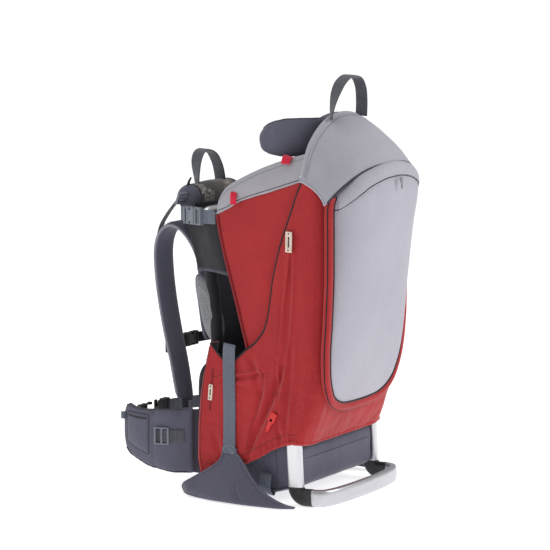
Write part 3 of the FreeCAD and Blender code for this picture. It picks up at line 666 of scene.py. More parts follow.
class Kit:
    """A moulded part built from bevelled blocks in one mesh, in its own axes."""

    def __init__(self, name, origin, x=(1, 0, 0), z=(0, 0, 1)):
        self.name = name
        X = V(x).normalized()
        Z = V(z)
        Z = (Z - X * Z.dot(X)).normalized()
        rows = [(*row, at) for row, at in zip(zip(X, Z.cross(X), Z), origin)]
        self.matrix = Matrix(rows + [(0, 0, 0, 1)])
        self.bm = bmesh.new()

    def box(self, x, y, z, radius=1.0, segments=2):
        """Each span is (low, high), or one number for half a span centred on zero."""
        spans = [s if isinstance(s, tuple) else (-s, s) for s in (x, y, z)]
        part = bmesh.new()
        bmesh.ops.create_cube(part, size=1.0)
        for v in part.verts:
            v.co = V([(lo + hi) / 2 + c * (hi - lo) for c, (lo, hi) in zip(v.co, spans)])
        radius = min(radius, 0.45 * min(hi - lo for lo, hi in spans))
        bmesh.ops.bevel(part, geom=part.edges[:], offset=radius, segments=segments,
                        profile=0.6, affect="EDGES")
        return self.add(part)

    def pair(self, x, y, z, *bevel):
        """A box and its twin at -z."""
        return self.box(x, y, z, *bevel).box(x, y, (-z[1], -z[0]), *bevel)

    def disc(self, y, radius, length, segments, bevel):
        """A round block along y, centred at height y."""
        part = bmesh.new()
        bmesh.ops.create_cone(part, cap_ends=True, segments=segments, radius1=radius,
                              radius2=radius, depth=length)
        rims = [e for e in part.edges
                if len(e.link_faces) == 2 and any(len(f.verts) > 4 for f in e.link_faces)]
        bmesh.ops.bevel(part, geom=rims, offset=bevel, segments=2, profile=0.6, affect="EDGES")
        place = Matrix.Translation((0, y, 0)) @ Matrix.Rotation(math.pi / 2, 4, "X")
        bmesh.ops.transform(part, matrix=place, verts=part.verts)
        return self.add(part)

    def add(self, part):
        mesh = bpy.data.meshes.new("tmp")
        part.to_mesh(mesh)
        part.free()
        self.bm.from_mesh(mesh)
        bpy.data.meshes.remove(mesh)
        return self

    def build(self, mat, body, replaces=None):
        bmesh.ops.transform(self.bm, matrix=self.matrix, verts=self.bm.verts)
        for v in self.bm.verts:
            v.co *= MM
        mesh = bpy.data.meshes.new(self.name)
        self.bm.to_mesh(mesh)
        self.bm.free()
        obj = link(self.name, mesh)
        mesh.materials.append(mat)
        shade_smooth(mesh)
        mod = obj.modifiers.new("wn", "WEIGHTED_NORMAL")
        mod.keep_sharp = True
        attach(apply(obj), body, replaces)


# ------------------------------------------------------------------ red shell
SHELL_X = 150
SHELL_FRONT = 76
SHELL_TOP, SHELL_LOW = 603, 113     # where the side meets the rear
# (x, y) of the left half in plan, from the front edge round to the rear centre.
PLAN = [(-SHELL_X, SHELL_FRONT), (-SHELL_X, -160), (-147.5, -173), (-141, -184),
        (-131, -193.5), (-118, -200), (0, -200)]
PLAN_RUN = np.r_[0, np.cumsum([math.dist(a, b) for a, b in zip(PLAN, PLAN[1:])])]
# y of the shell's rear by height: z, then y.
REAR_Y = ([104, 125, 150, 182, 215, 260, 330, 430],
          [-149, -158, -169, -180, -187, -192, -197, -200])
# (y, z) of the two raised lines either side of the side zip.
ZIP_A = [(-97, 193), (-101, 243), (-108, 301), (-114, 377), (-119, 440)]
ZIP_B = [(-105, 194), (-114, 237), (-127, 322), (-132, 378), (-134, 450)]
ZIP_MIDDLE = [((a[0] + b[0]) / 2, a[1]) for a, b in zip(ZIP_A, ZIP_B)]
# Folds in the side: (y, z) line, width, depth.
FOLDS = [([(-112, 262), (-93, 209), (-69, 160), (-45, 116), (-27, 74)], 6.5, 5.0),
         ([(-69, 245), (-63, 201), (-51, 158), (-39, 121)], 5.0, 2.6),
         ([(30, 214), (-9, 226), (-45, 235), (-81, 245)], 4.0, 2.6),
         ([(-128, 318), (-124, 240), (-118, 180), (-112, 130)], 6.0, 2.4),
         ([(-36, 272), (-52, 240), (-58, 200)], 6.0, 2.4),
         ([(40, 120), (30, 90), (22, 58)], 6.0, 2.0),
         ([(-96, 160), (-100, 135), (-104, 116)], 5.0, 2.2)]
# Columns of the side panel from the front back: (y, z) of the top end, (y, z) of the low end.
SIDE_COLUMNS = [
    ((48, 288), (70, 37)), ((31, 270), (55, 40)), ((14, 256), (35, 44)), ((1, 256), (15, 49)),
    ((-30, 281), (-20, 63)), ((-48, 295), (-41, 74)), ((-63, 312), (-56, 81)),
    ((-71, 326), (-64, 86)), ((-78, 350), (-74, 92)), ((-84, 389), (-84, 98)),
    ((-88, 416), (-91, 101)), ((-101, 468), (-105, 107)), ((-111, 500), (-116, 111)),
    ((-126, 539), (-128, 112)), ((-138, 573), (-139, 113)), ((-151, SHELL_TOP), (-150, SHELL_LOW))]
# Bulge of the front edge: z, then y.
FRONT_EDGE = ([37, 69, 128, 183, 227, 262, 288], [70, 76, 75, 70, 63, 54, 48])
# (x, y) shifts of the columns that turn the front edge inward.
TURN_IN = ((26, -1.5), (17, -0.5), (8, 0.6), (3.2, 0.4), (0.9, -0.4))
SIDE_COUNT = 84
SHELL_ROWS = 100
# (y, z) of sewn lines on the side.
HEM_LINE = [(62, 57), (20, 67), (-33, 89), (-64, 106), (-91, 121), (-117, 131), (-140, 133)]
POCKET_LINE = [(48, 221), (22, 229), (-2, 233), (-35, 241), (-62, 246), (-67, 213), (-58, 181),
               (-42, 141), (-29, 92)]
FRONT_LINE = [(52, 282), (57, 250), (64, 210), (69, 160), (72, 110), (71, 70), (66, 45)]
EDGE_LINE = [(-48, 303), (-69, 322), (-79, 338), (-86, 358), (-91, 390), (-96, 417),
             (-109, 469), (-119, 502), (-133, 541), (-144, 573)]


def plan_xy(run):
    return [float(np.interp(run, PLAN_RUN, [p[k] for p in PLAN])) for k in (0, 1)]


def plan(run):
    """(x, y, outward x, outward y) at a distance along the plan."""
    (x2, y2), (x1, y1) = plan_xy(run + 1.5), plan_xy(run - 1.5)
    length = math.hypot(x2 - x1, y2 - y1) or 1
    return (*plan_xy(run), (y2 - y1) / length, -(x2 - x1) / length)


def rear_y(z):
    return float(np.interp(z, *REAR_Y))


def ridge(y, z, line, width, height):
    heights = [p[1] for p in line]
    if not heights[0] - 12 < z < heights[-1] + 25:
        return 0.0
    centre = np.interp(z, heights, [p[0] for p in line])
    fade = min(1, (z - heights[0] + 12) / 20, (heights[-1] + 25 - z) / 25)
    return height * fade * math.exp(-((y - centre) / width) ** 2)


def fold(y, z, points, width, depth):
    """A crease along a line with a soft swell beside it, fading at both ends."""
    nearest, place = 1e9, 0
    count = len(points) - 1
    for i in range(count):
        (ay, az), (by, bz) = points[i], points[i + 1]
        dy, dz = by - ay, bz - az
        t = min(1, max(0, ((y - ay) * dy + (z - az) * dz) / (dy * dy + dz * dz)))
        distance = math.hypot(y - ay - t * dy, z - az - t * dz)
        if distance < nearest:
            nearest, place = distance, (i + t) / count
    fade = min(1.0, place * 5 + 0.15, (1 - place) * 5 + 0.15)
    swell = 0.45 * math.exp(-((nearest - 2.0 * width) / (1.1 * width)) ** 2)
    return 1.35 * fade * depth * (-math.exp(-(nearest / width) ** 2) + swell)


def shell_offset(run, z, low, high, seed):
    """How far the cloth stands out of the plan."""
    y = SHELL_FRONT - run
    # uneven cloth and level creases below the top
    out = 1.5 * wob(run / 34, z / 210, 3 + seed) - 0.6
    out += 0.9 * wob(run / 15, z / 120, 9 + seed)
    crease = wob(run / 60 + 0.35 * wob(z / 70, run / 90), z / 26, 4 + seed)
    out -= 1.2 * max(0, 0.28 - abs(crease)) / 0.28 * smooth01((340 - z) / 90)
    # gathers at the hem, flatter across the rear
    hem = max(0.0, 1 - (z - low) / 34)
    out += hem * (1.3 * (1 - 0.7 * smooth01((run - 205) / 30))
                  * math.sin(run * 2 * math.pi / 13 + 3 * wob(run / 30, seed)) - 0.5)
    out -= 3.0 * max(0.0, 1 - (z - low) / 11) ** 2
    if -140 < y < -85:
        out += ridge(y, z, ZIP_A, 2.6, 2.0) + ridge(y, z, ZIP_B, 2.6, 2.2)
        out -= ridge(y, z, ZIP_MIDDLE, 4.0, 1.5)
    out -= 1.2 * max(0.0, 1 - (high - z) / 7) ** 2
    if y > -150:
        for points, width, depth in FOLDS:
            out += fold(y, z, points, width, depth)
    # a soft belly in the middle of the side
    middle = smooth01((y + 60) / 60) * smooth01((60 - y) / 30)
    out += 1.6 * middle * math.sin(min(1, max(0, (z - 70) / 170)) * math.pi)
    if -128 < y < -34:
        # room for the folding leg inside the hem
        least = -2.5 - 0.45 * max(0.0, z - low - 12)
        if out < least:
            out = least - 0.08 * (least - out)
    return out


def shell_half(seed):
    """Columns of points, low to high, from the front edge to the rear centre."""
    pairs = spline([(SHELL_FRONT - top[0], top[1], SHELL_FRONT - low[0], low[1])
                    for top, low in SIDE_COLUMNS], SIDE_COUNT)
    ends = [(*pair, k / (SIDE_COUNT - 1)) for k, pair in enumerate(pairs)]
    for run in np.linspace(226, PLAN_RUN[-1], 46)[1:]:
        ends.append((run, SHELL_TOP - 46 * smooth01((run - 226) / 62),
                     run, SHELL_LOW - 4 * smooth01((run - 240) / 60), 1.0))
    (z_low, *_, z_high), (y_low, *_, y_high) = FRONT_EDGE
    columns = []
    for index, (run_top, top, run_low, low, back) in enumerate(ends):
        column = []
        for r in range(SHELL_ROWS):
            v = r / (SHELL_ROWS - 1)
            run, z = run_low + (run_top - run_low) * v, low + (top - low) * v
            y = SHELL_FRONT - run
            straight = y_low + (y_high - y_low) * (z - z_low) / (z_high - z_low)
            if z < z_high:
                y += (np.interp(z, *FRONT_EDGE) - straight) * max(0.0, 1 - back * 7)
            run = SHELL_FRONT - y
            x, y, out_x, out_y = plan(run)
            if y < -120:
                y = -120 + (y + 120) * (rear_y(z) + 120) / -80
            out = shell_offset(run, z, low, top, seed) * min(1.0, index / 4)
            column.append((x + out_x * out, y + out_y * out, z))
        columns.append(column)
    lead = [[(x + dx, y + dy, z) for x, y, z in columns[0]] for dx, dy in TURN_IN]
    return lead + columns


shell_left = shell_half(0)
shell_right = [[(-x, y, z) for x, y, z in column] for column in shell_half(20)]
shell_columns = shell_left + shell_right[::-1][1:]
shell = grid("shell_fabric", [list(row) for row in zip(*shell_columns)], [RED, LINING])
shell_surface = surface_of(shell)
side_start = len(TURN_IN)
shell_edge = [column[-1] for column in shell_left[side_start:side_start + SIDE_COUNT]]
shell_hem = [column[1] for column in shell_left[side_start:]]
attach(solid(shell, 2.4, smooth=False, inner=1), replaces="shell_body")
for hand, side in SIDES:
    # black binding along the shell's front edge, kept thin and dark so that it also paints the
    # shadow line along that edge
    path = spline([(-side * (x - 0.2), y, z) for x, y, z in shell_edge], 150)
    attach(sweep(f"shell_edge_binding_{hand}", path, (side, 0, 0), oval(3.2, 3.6, 2.2, 10),
                 PIPING))
    path = spline([(-side * (x - 0.6), y - (0.6 if abs(x) < 149 else 0), z + 1)
                   for x, y, z in shell_hem], 220)
    attach(sweep(f"shell_hem_{hand}", path, (0, 0, 1),
                 lambda i, end: oval(7.0 + 0.8 * math.sin(i * 0.9), 3.6, 2.2, 12), RED))
    # name, line, cord material, lift, count, offset of the stitches
    for part, line, mat, lift, count, offset in (
            ("hem_seam", HEM_LINE, RED_DARK, 0.5, 120, (0, 0.8, 3.2)),
            ("pocket_seam", POCKET_LINE, RED_DARK, -0.1, 110, (0, 3.0, -3.0)),
            ("front_seam", FRONT_LINE, SEAM_RED, 0.0, 90, (0, -3.2, 0)),
            ("edge_stitch", EDGE_LINE, None, 0.0, 120, None)):
        seam(f"shell_{part}_{hand}", shell_surface, at_x(side * SHELL_X, line), mat,
             radius=0.6, lift=lift, count=count, thread=THREAD_RED, offset=offset,
             ray=(-side, 0, 0))

# ------------------------------------------------------------------ cockpit sides
# (y, z) edges of the red wing panels: front edge upward, then top edge rearward.
WING_FRONT = [(-30, 270), (-28.5, 285), (-17, 326), (-1, 382), (17, 443), (29, 489), (37, 527)]
WING_TOP = [(37, 527), (10, 541), (-20, 557), (-80, 576.5), (-146, 599)]
# (y, z) of the low and high edges of the padded rim, front to rear.
RIM_LOW = [(37.5, 527), (10, 540), (-20, 556), (-80, 575.5), (-150, 599)]
RIM_HIGH = [(35, 553), (24, 572), (6, 587), (-46, 614), (-97, 634), (-151, 650)]
RIM_SEAM = [(34, 535), (10, 545), (-20, 561), (-80, 581), (-140, 601)]
RIM_TOP_SEAM = [(30, 553), (20, 567), (3, 579), (-48, 605), (-99, 625), (-146, 641)]
wing_front = spline(WING_FRONT, 60)
wing_top = spline(WING_TOP, 50)


def coons(u, v, front, rear, low, top, corners):
    """Blends four edges. corners: front low, rear low, front top, rear top."""
    front_low, rear_low, front_top, rear_top = corners
    return ((1 - u) * front + u * rear + (1 - v) * low + v * top
            - ((1 - u) * (1 - v) * front_low + u * (1 - v) * rear_low
               + (1 - u) * v * front_top + u * v * rear_top))


def wing_rows(seed):
    """Rows of the left wing, low to high, each from front to rear."""
    rows = []
    for i, (front_y, front_z) in enumerate(wing_front):
        v = i / 59
        row = []
        for j, (top_y, top_z) in enumerate(wing_top):
            u = j / 49
            y = coons(u, v, front_y, -148, -30 - 118 * u, top_y, (-30, -148, 37, -146))
            z = coons(u, v, front_z, 270 + 329 * v, 270, top_z, (270, 270, 527, 599))
            x = -142.6 - 0.9 * wob(y / 40, z / 60, seed)
            x -= 1.2 * math.sin(math.pi * min(1, u * 1.6)) * math.sin(math.pi * v)
            x += 1.6 * max(0, 1 - u * 14) ** 2
            row.append((x, y, z))
        rows.append(row)
    return rows


def rim_rings(side):
    """Padded section rings, front to rear. The pad leans inward towards the rear."""
    rings = []
    for i, ((low_y, low_z), (high_y, high_z)) in enumerate(zip(spline(RIM_LOW, 70),
                                                              spline(RIM_HIGH, 70))):
        t = i / 69
        x_low, x_high = -144.5, -143 + 20 * smooth01((t - 0.15) / 0.85)
        ring = []
        for k in range(36):
            a = 2 * math.pi * k / 36
            u = 0.5 - 0.5 * math.copysign(abs(math.cos(a)) ** 0.75, math.cos(a))
            across = math.copysign(abs(math.sin(a)) ** 0.6, math.sin(a))
            belly = math.sin(math.pi * u)
            x = x_low + (x_high - x_low) * u + 4.6 + across * (4.8 + 0.8 * belly)
            x += 0.7 * wob(t * 9, u * 2, a) - 2.0 * belly * smooth01(t * 9)
            ring.append((-side * x, low_y + (high_y - low_y) * u, low_z + (high_z - low_z) * u))
        if i == 0:
            centre = np.mean(np.array(ring), axis=0)
            ring = [tuple(centre + (np.array(p) - centre) * (0.80, 1.0, 0.86)) for p in ring]
        rings.append(ring)
    return rings


for hand, side in SIDES:
    inward = (-side, 0, 0)
    rows = [[(-side * x, y, z) for x, y, z in row] for row in wing_rows(-3 * side)]
    if side > 0:
        rows = [row[::-1] for row in rows]
    wing = grid(f"wing_panel_{hand}", rows, [RED, LINING])
    face_towards(wing, (side, 0, 0))
    wing_surface = surface_of(wing)
    attach(solid(wing, 4.0, smooth=False, inner=1), replaces=f"wing_{hand}")
    attach(sweep(f"wing_front_binding_{hand}", spline(at_x(side * 142.4, WING_FRONT), 80),
                 inward, oval(6.5, 5.0, 2.4, 12), RED_DARK))
    seam(f"wing_stitch_{hand}", wing_surface,
         [(side * 143, y - 8, z) for y, z in WING_FRONT[1:]], count=80, thread=THREAD_RED,
         ray=inward)
    rim = grid(f"cockpit_rim_{hand}", rim_rings(side), GREY_RIM, around=True, caps=True)
    rim_surface = surface_of(rim)
    attach(subsurf(rim), replaces="cockpit_rims" if side > 0 else None)
    seam(f"rim_seam_{hand}", rim_surface, at_x(side * 149, RIM_SEAM), SEAM, radius=0.8, lift=0.0,
         count=90, thread=THREAD_GREY, offset=(0, 0, 3.6), ray=inward)
    seam(f"rim_top_seam_{hand}", rim_surface, at_x(side * 149, RIM_TOP_SEAM), SEAM_GREY,
         radius=0.5, lift=0.0, count=90, ray=inward)

# ------------------------------------------------------------------ hood
# (x, z) of the front lip and (x, y, z) of the rear edge, from the left to the middle.
LIP = [(-152, 600), (-144.5, 609), (-137, 621), (-126, 646), (-110, 669), (-78, 694),
       (-42, 709), (0, 714)]
HOOD_REAR = [(-153, -200, 559), (-149.5, -206, 568), (-140, -216, 582), (-122, -228, 599),
             (-98, -238, 613), (-60, -246, 624), (0, -250, 628)]
HOOD_COLUMNS, HOOD_ROWS = 120, 46
lip = spline([(x, -145.5, z) for x, z in mirrored(LIP)], HOOD_COLUMNS)
hood_rear = spline(mirrored(HOOD_REAR), HOOD_COLUMNS)


def hood_point(j, v):
    """A point of the Bezier run from lip (v = 0) to rear edge (v = 1) at column j."""
    a = 2 * j / (HOOD_COLUMNS - 1) - 1
    crown = 1 - abs(a) ** 2.4
    start, end = V(lip[j]), V(hood_rear[j])
    pull_start = start + V((0, -16 - 7 * crown, -3.5 * crown - 1.5 * (1 - crown)))
    pull_end = end + V((0, 6 + 14 * crown, 21 + 7 * crown))
    if abs(a) > 0.05:
        pull_end.x += math.copysign(3 * (1 - abs(abs(a) - 0.5) * 2), a)
    point = (start * (1 - v) ** 3 + pull_start * 3 * v * (1 - v) ** 2
             + pull_end * 3 * v * v * (1 - v) + end * v ** 3)
    normal = V((a * 0.8, -0.35 - 0.5 * v, crown)).normalized()
    return tuple(point + normal * (1.1 * wob(a * 4, v * 3, 2) + 0.6 * wob(a * 11, v * 7, 5)
                                   + 1.8 * math.sin(math.pi * v) * crown))


hood_rows = [[hood_point(j, i / (HOOD_ROWS - 1)) for j in range(HOOD_COLUMNS)]
             for i in range(HOOD_ROWS)]
hood = grid("hood_sheet", hood_rows, [GREY, LINING])
face_towards(hood, (0, 0, 1))
hood_surface = surface_of(hood)
attach(solid(hood, 3.6, inner=1), replaces="hood_cap")
seam("hood_lip_seam", hood_surface, hood_rows[7][3:-3], SEAM_GREY, radius=0.55, lift=0.0,
     count=200, thread=THREAD_GREY, offset=(0, -2.6, 0.6))
attach(sweep("hood_lip_roll",
             spline([(x * 0.996, -146.5, z - 1.5) for x, y, z in lip[3:-3]], 160),
             (0, 1, 0), oval(9.0, 7.0, 2.2, 14), GREY))
for hand, side in SIDES:
    path = spline([(-side * row[0][0], *row[0][1:]) for row in hood_rows], 60)
    attach(sweep(f"hood_side_binding_{hand}", path, (-side, 0, 0), oval(3.0, 3.0, 2.3, 12),
                 GREY))
# binding along the hood's rear edge in dark seam cloth; its dark colour also paints the shadow
# line in the gap between hood and pod
attach(sweep("hood_back_binding_shadow_line",
             spline([(x, y - 1.0, z - 1.0) for x, y, z in hood_rear[2:-2]], 160),
             (0, 0.7, 0.7), oval(3.4, 2.8, 2.2, 12), SEAM))
# sheet from the hood's rear edge forward and down, above the pod
rows = []
for i in range(8):
    v = i / 7
    rows.append([(x * (1 - 0.10 * v) * (0.99 if abs(x) > 146 else 1), y + (-196 - y) * v + 2.5,
                  z - 2 - (4 + 24 * smooth01((150 - abs(x)) / 26)) * v)
                 for x, y, z in hood_rear[2:-2]])
attach(solid(grid("pod_collar", rows, [GREY, LINING]), 3.0, offset=0.0))

# ------------------------------------------------------------------ rear pod
# (x, z) of the right half outline, top to bottom.
POD_HALF = [(0, 628), (46, 624.5), (84, 616), (107, 604.5), (121, 590), (129, 572), (131, 545),
            (130.5, 500), (130, 400), (132, 310), (129, 268), (120, 233), (101, 203), (68, 187),
            (30, 183), (0, 182.5)]
POD_COUNT = 168
POD_Z = 415.0       # height of the outline's hub
# y of the pod's rear face: z, then y.
POD_FACE = ([150, 200, 240, 330, 450, 545, 575, 600, 640],
            [-201, -208, -214, -226, -246, -263, -268, -269, -267])
# y of the pod's edge under the hood: distance from the middle, then y.
POD_TOP_EDGE = ([0, 60, 112, 128, 140], [-251, -246, -233, -219, -210])
# (x, z) of the flap strip's low edge, from the left to the middle.
FLAP_LOW = [(-131, 549), (-122, 563), (-104, 580), (-78, 592), (-40, 601), (0, 604)]
pod_outline = spline(POD_HALF + [(-x, z) for x, z in POD_HALF[-2:0:-1]], POD_COUNT, closed=True)


def pod_edge_y(x, z):
    top = np.interp(abs(x), *POD_TOP_EDGE)
    low = rear_y(z) - 4
    return low + (top - low) * smooth01((z - 545) / 50)


def outline_at(k):
    i, part = int(k) % POD_COUNT, k - int(k)
    return pod_outline[i] * (1 - part) + pod_outline[(i + 1) % POD_COUNT] * part


def pod_point(k, r, lift=0.0):
    """A point at outline place k, and r from the hub (0) to the edge (1)."""
    k = k % POD_COUNT
    edge_x, edge_z = outline_at(k)
    x, z = edge_x * r, POD_Z + (edge_z - POD_Z) * r
    edge_y = pod_edge_y(edge_x, edge_z)
    dome = max(0.0, 1 - r ** 2.8) ** 0.5
    y = edge_y + (np.interp(z, *POD_FACE) - edge_y) * dome
    sag = 0.9 * wob(x / 70, z / 90, 1) + 0.45 * wob(x / 28, z / 34, 7)
    pucker = max(0.0, (r - 0.86) / 0.14) * 0.8 * math.sin(k * 1.9 + 2 * wob(k / 9, 1))
    y -= (sag + pucker) * min(1, (1 - r) * 8) + lift * (0.35 + 0.65 * dome)
    length = math.hypot(edge_x, edge_z - POD_Z)
    x += edge_x / length * lift * (1 - dome)
    z += (edge_z - POD_Z) / length * lift * (1 - dome)
    return (x, y, z)


# rings from the hub out, closer together near the edge
radii = [0.02, *np.linspace(0.06, 0.80, 20), *(1 - 0.18 * (1 - np.linspace(0, 1, 19)) ** 2.0)]
radii = sorted({round(float(min(r, 1.0)), 5) for r in radii})
rings = [[pod_point(k, r) for k in range(POD_COUNT)] for r in radii]
rings.append([(x * 0.985, y + 14, POD_Z + (z - POD_Z) * 0.985) for x, y, z in rings[-1]])
verts = [p for ring in rings for p in ring] + [pod_point(0, 0.0)]
faces = quads(len(rings), POD_COUNT, around=True)
faces += [(len(verts) - 1, (k + 1) % POD_COUNT, k) for k in range(POD_COUNT)]
pod = tidy(make("pod_shell", verts, faces, GREY))
face_towards(pod, (0, -1, 0))
pod_surface = surface_of(pod)
attach(solid(pod, 3.0), replaces="mini_pack")

# The outline runs clockwise, so its angles are reversed to rise for the lookup.
outline_angles = np.unwrap([math.atan2(z - POD_Z, x) for x, z in pod_outline])[::-1]
outline_places = np.arange(POD_COUNT)[::-1]


def pod_xz(x, z, lift):
    """The pod's surface at (x, z)."""
    angle = math.atan2(z - POD_Z, x)
    while angle < outline_angles[0]:
        angle += 2 * math.pi
    while angle > outline_angles[-1]:
        angle -= 2 * math.pi
    k = float(np.interp(angle, outline_angles, outline_places))
    edge_x, edge_z = outline_at(k)
    edge = math.hypot(edge_x, edge_z - POD_Z)
    return pod_point(k, min(1.0, math.hypot(x, z - POD_Z) / edge), lift)


# strip over the top of the pod, standing proud like a rain flap over the zip
flap_low = spline(mirrored(FLAP_LOW), 150)
top_arc = np.array(sorted((x, z) for x, z in pod_outline if z > 549))
band = []
for i in range(10):
    v = i / 9
    row = []
    for x, low in flap_low:
        top = float(np.interp(x * 0.985, top_arc[:, 0], top_arc[:, 1]))
        rise = 0.12 + 0.88 * smooth01((top - low) / 16)
        lift = 2.6 + 1.5 * math.sin(math.pi * v) - 0.8 * (i == 0)
        row.append(pod_xz(x * 0.99, top + (low - top) * v, lift * rise))
    band.append(row)
strip = grid("pod_flap_strip", band, GREY)
face_towards(strip, (0, -1, 0))
strip_surface = surface_of(strip)
attach(solid(strip, 2.2))
seam("pod_flap_stitch", strip_surface, band[-2][4:-4], thread=THREAD_GREY, count=150)
attach(cord("pod_zip_line", spline([pod_xz(x, z - 1.4, 0.5) for x, z in flap_low], 170), 1.0,
            SEAM))
seam("pod_lower_stitch", pod_surface, [pod_xz(x, z - 7, 0) for x, z in flap_low[8:-8]],
     thread=THREAD_GREY, count=120)


def pod_surround(name, offset, y, mat, width, height, power):
    """A band round the pod below the hood, a given offset outside the outline."""
    path = []
    for k in range(POD_COUNT):
        x, z = pod_outline[k]
        if z >= 574:
            continue
        dx, dz = pod_outline[(k + 1) % POD_COUNT] - pod_outline[k - 1]
        length = math.hypot(dx, dz)
        out_x, out_z = -dz / length, dx / length
        if out_x * x + out_z * (z - POD_Z) < 0:
            out_x, out_z = -out_x, -out_z
        shift = (pod_edge_y(x, z) + 204) * (0.55 if z > 500 else 1.0)
        path.append((x + out_x * offset, y + shift, z + out_z * offset))

    def section(i, end):
        return [(b, a) for a, b in oval(width * (1 + 0.05 * wob(i / 4, 3)), height, power, 16)]
    attach(sweep(name, spline(path, 230), (0, 1, 0), section, mat))


pod_surround("pod_gusset", 7.5, -200.5, RED, 17.5, 15.0, 2.4)
pod_surround("pod_piping_inner", 0.6, -206.5, PIPING, 3.4, 3.4, 2.0)
pod_surround("pod_piping_outer", 15.2, -202.5, PIPING, 3.0, 3.0, 2.0)

# ------------------------------------------------------------------ base compartment
BASE_X = 125.5      # half width
# (y, z) of the side profile.
BASE_PROFILE = [(46, 14), (47, 60), (45, 106), (-60, 110), (-131, 108), (-139, 62), (-136, 36),
                (-113, 25), (-63, 11), (0, 11)]
profile = spline(BASE_PROFILE, 96, closed=True)
base_y, base_z = profile.mean(axis=0)
rows = []
for i in range(61):
    u = -1 + 2 * i / 60
    full = (1 - abs(u) ** 9) ** (1 / 5)
    x = BASE_X * math.copysign(1 - (1 - abs(u)) ** 1.25, u)
    row = []
    for y, z in profile:
        y2 = base_y + (y - base_y) * (0.965 + 0.035 * full)
        z2 = base_z + (z - base_z) * (0.92 + 0.08 * full)
        bulge = 1.0 * wob(x / 26, y2 / 30, z2 / 24) + 0.7 * wob(x / 12, y2 / 14, z2 / 11)
        row.append((x + (bulge * 0.6 if abs(u) == 1 else 0), y2 + 0.004 * bulge * (y2 - base_y),
                    z2 + 0.010 * bulge * (z2 - base_z)))
    rows.append(row)
base = grid("base_bag", rows, CHARCOAL, around=True, caps=True)


def on_end(v):
    return abs(abs(v.co.x) - BASE_X * MM) < 0.0012


# split the spokes of the end caps and swell the ends
bm = bmesh.new()
bm.from_mesh(base.data)
fans = [f for f in bm.faces if all(on_end(v) for v in f.verts)]
spokes = {e for f in fans for e in f.edges
          if on_end(e.verts[0]) and (e.verts[0].co - e.verts[1].co).length > 0.02}
bmesh.ops.subdivide_edges(bm, edges=list(spokes), cuts=5, use_grid_fill=True)
for v in bm.verts:
    if on_end(v):
        y, z = v.co.y * 1000, v.co.z * 1000
        swell = (max(0.0, 1 - ((y - base_y) / 88) ** 2)
                 * max(0.0, 1 - ((z - base_z) / 46) ** 2))
        out = 2.2 * swell + 1.0 * wob(y / 24, z / 18, 8) * min(1, 3 * swell)
        v.co.x += math.copysign(out * MM, v.co.x)
bm.to_mesh(base.data)
bm.free()
base_surface = surface_of(base)
attach(subsurf(base), replaces="base_compartment")
for hand, side in SIDES:
    edge = [(side * 127, base_y + (y - base_y) * 0.955, base_z + (z - base_z) * 0.90)
            for y, z in profile[::4]]
    seam(f"base_side_piping_{hand}", base_surface, edge, SEAM, radius=1.3, lift=0.2, count=150,
         closed=True)
    seam(f"base_rib_seam_{hand}", base_surface,
         at_x(side * 130, [(-84, 20), (-84, 60), (-80, 104)]), SEAM, radius=0.7, lift=0.0,
         count=40, thread=THREAD_DARK, offset=(0, 3.2, 0), ray=(-side, 0, 0))
seam("base_rear_seam", base_surface, [(x, -150, 84) for x in (-118, -60, 0, 60, 118)], SEAM,
     radius=0.8, lift=0.0, count=120, thread=THREAD_DARK, offset=(0, 0, 3.4), ray=(0, 1, 0))


# ------------------------------------------------------------------ back panel and pads
def board_y(z):
    """The back board leans forward above z = 300."""
    return float(np.interp(z, [46, 300, 380, 520], [78, 78, 90, 127]))


def panel(name, x_span, z_span, centre_y, thick, mat, cells, power, crown, channels):
    """A sewn pad facing +Y, and the path of its rim. It is crowned both ways, with rounded
    corners and sewn channels across it at the heights in channels. cells counts x, then z."""
    (x0, x1), (z0, z1), (nx, nz) = x_span, z_span, cells
    front, back = [], []
    for i in range(nz + 1):
        v = -1 + 2 * i / nz
        for j in range(nx + 1):
            u = -1 + 2 * j / nx
            # square to rounded rectangle
            reach = max(abs(u), abs(v))
            pull = reach / ((abs(u) ** power + abs(v) ** power) ** (1 / power) or 1)
            x = (x0 + x1) / 2 + u * pull * (x1 - x0) / 2
            z = (z0 + z1) / 2 + v * pull * (z1 - z0) / 2
            y = centre_y(z)
            edge = max(0.0, 1 - reach ** 6) ** 0.5
            groove = sum(math.exp(-((z - at) / 3.2) ** 2) for at in channels)
            swell = (thick / 2 - 2 + crown * (1 - u * u) * (1 - v * v)
                     - groove * min(3.2, thick * 0.28) + 0.7 * wob(x / 22, z / 22, y / 50))
            front.append((x, y + 2 + swell * edge, z))
            back.append((x, y - 2 - (thick / 2 - 2) * edge * 0.8, z))
    width, count = nx + 1, len(front)
    faces = []
    for a, b, c, d in quads(nz + 1, width, around=False):
        faces += [(a, b, c, d), (count + a, count + d, count + c, count + b)]
    rim = [*range(width), *(i * width + nx for i in range(1, nz + 1)),
           *(nz * width + j for j in range(nx - 1, -1, -1)),
           *(i * width for i in range(nz - 1, 0, -1))]
    for a, b in zip(rim, rim[1:] + rim[:1]):
        faces.append((a, count + a, count + b, b))
    pad = tidy(make(name, front + back, faces, mat))
    pad["edge"] = 1     # a custom property every pad carries
    return pad, [tuple((V(front[i]) + V(back[i])) / 2) for i in rim]


pad, rim = panel("back_cover", (-101, 101), (268, 522), lambda z: board_y(z) - 8, 17,
                 CHARCOAL_DARK, cells=(40, 44), power=7, crown=3, channels=(302, 410))
attach(subsurf(pad), replaces="back_board")
pad, _ = panel("back_cover_low", (-100, 100), (44, 276), lambda z: 74, 14,
               CHARCOAL_DARK, cells=(30, 34), power=8, crown=2, channels=(160,))
attach(subsurf(pad))
piping("back_cover_piping", rim, 260, 2.2, SEAM)

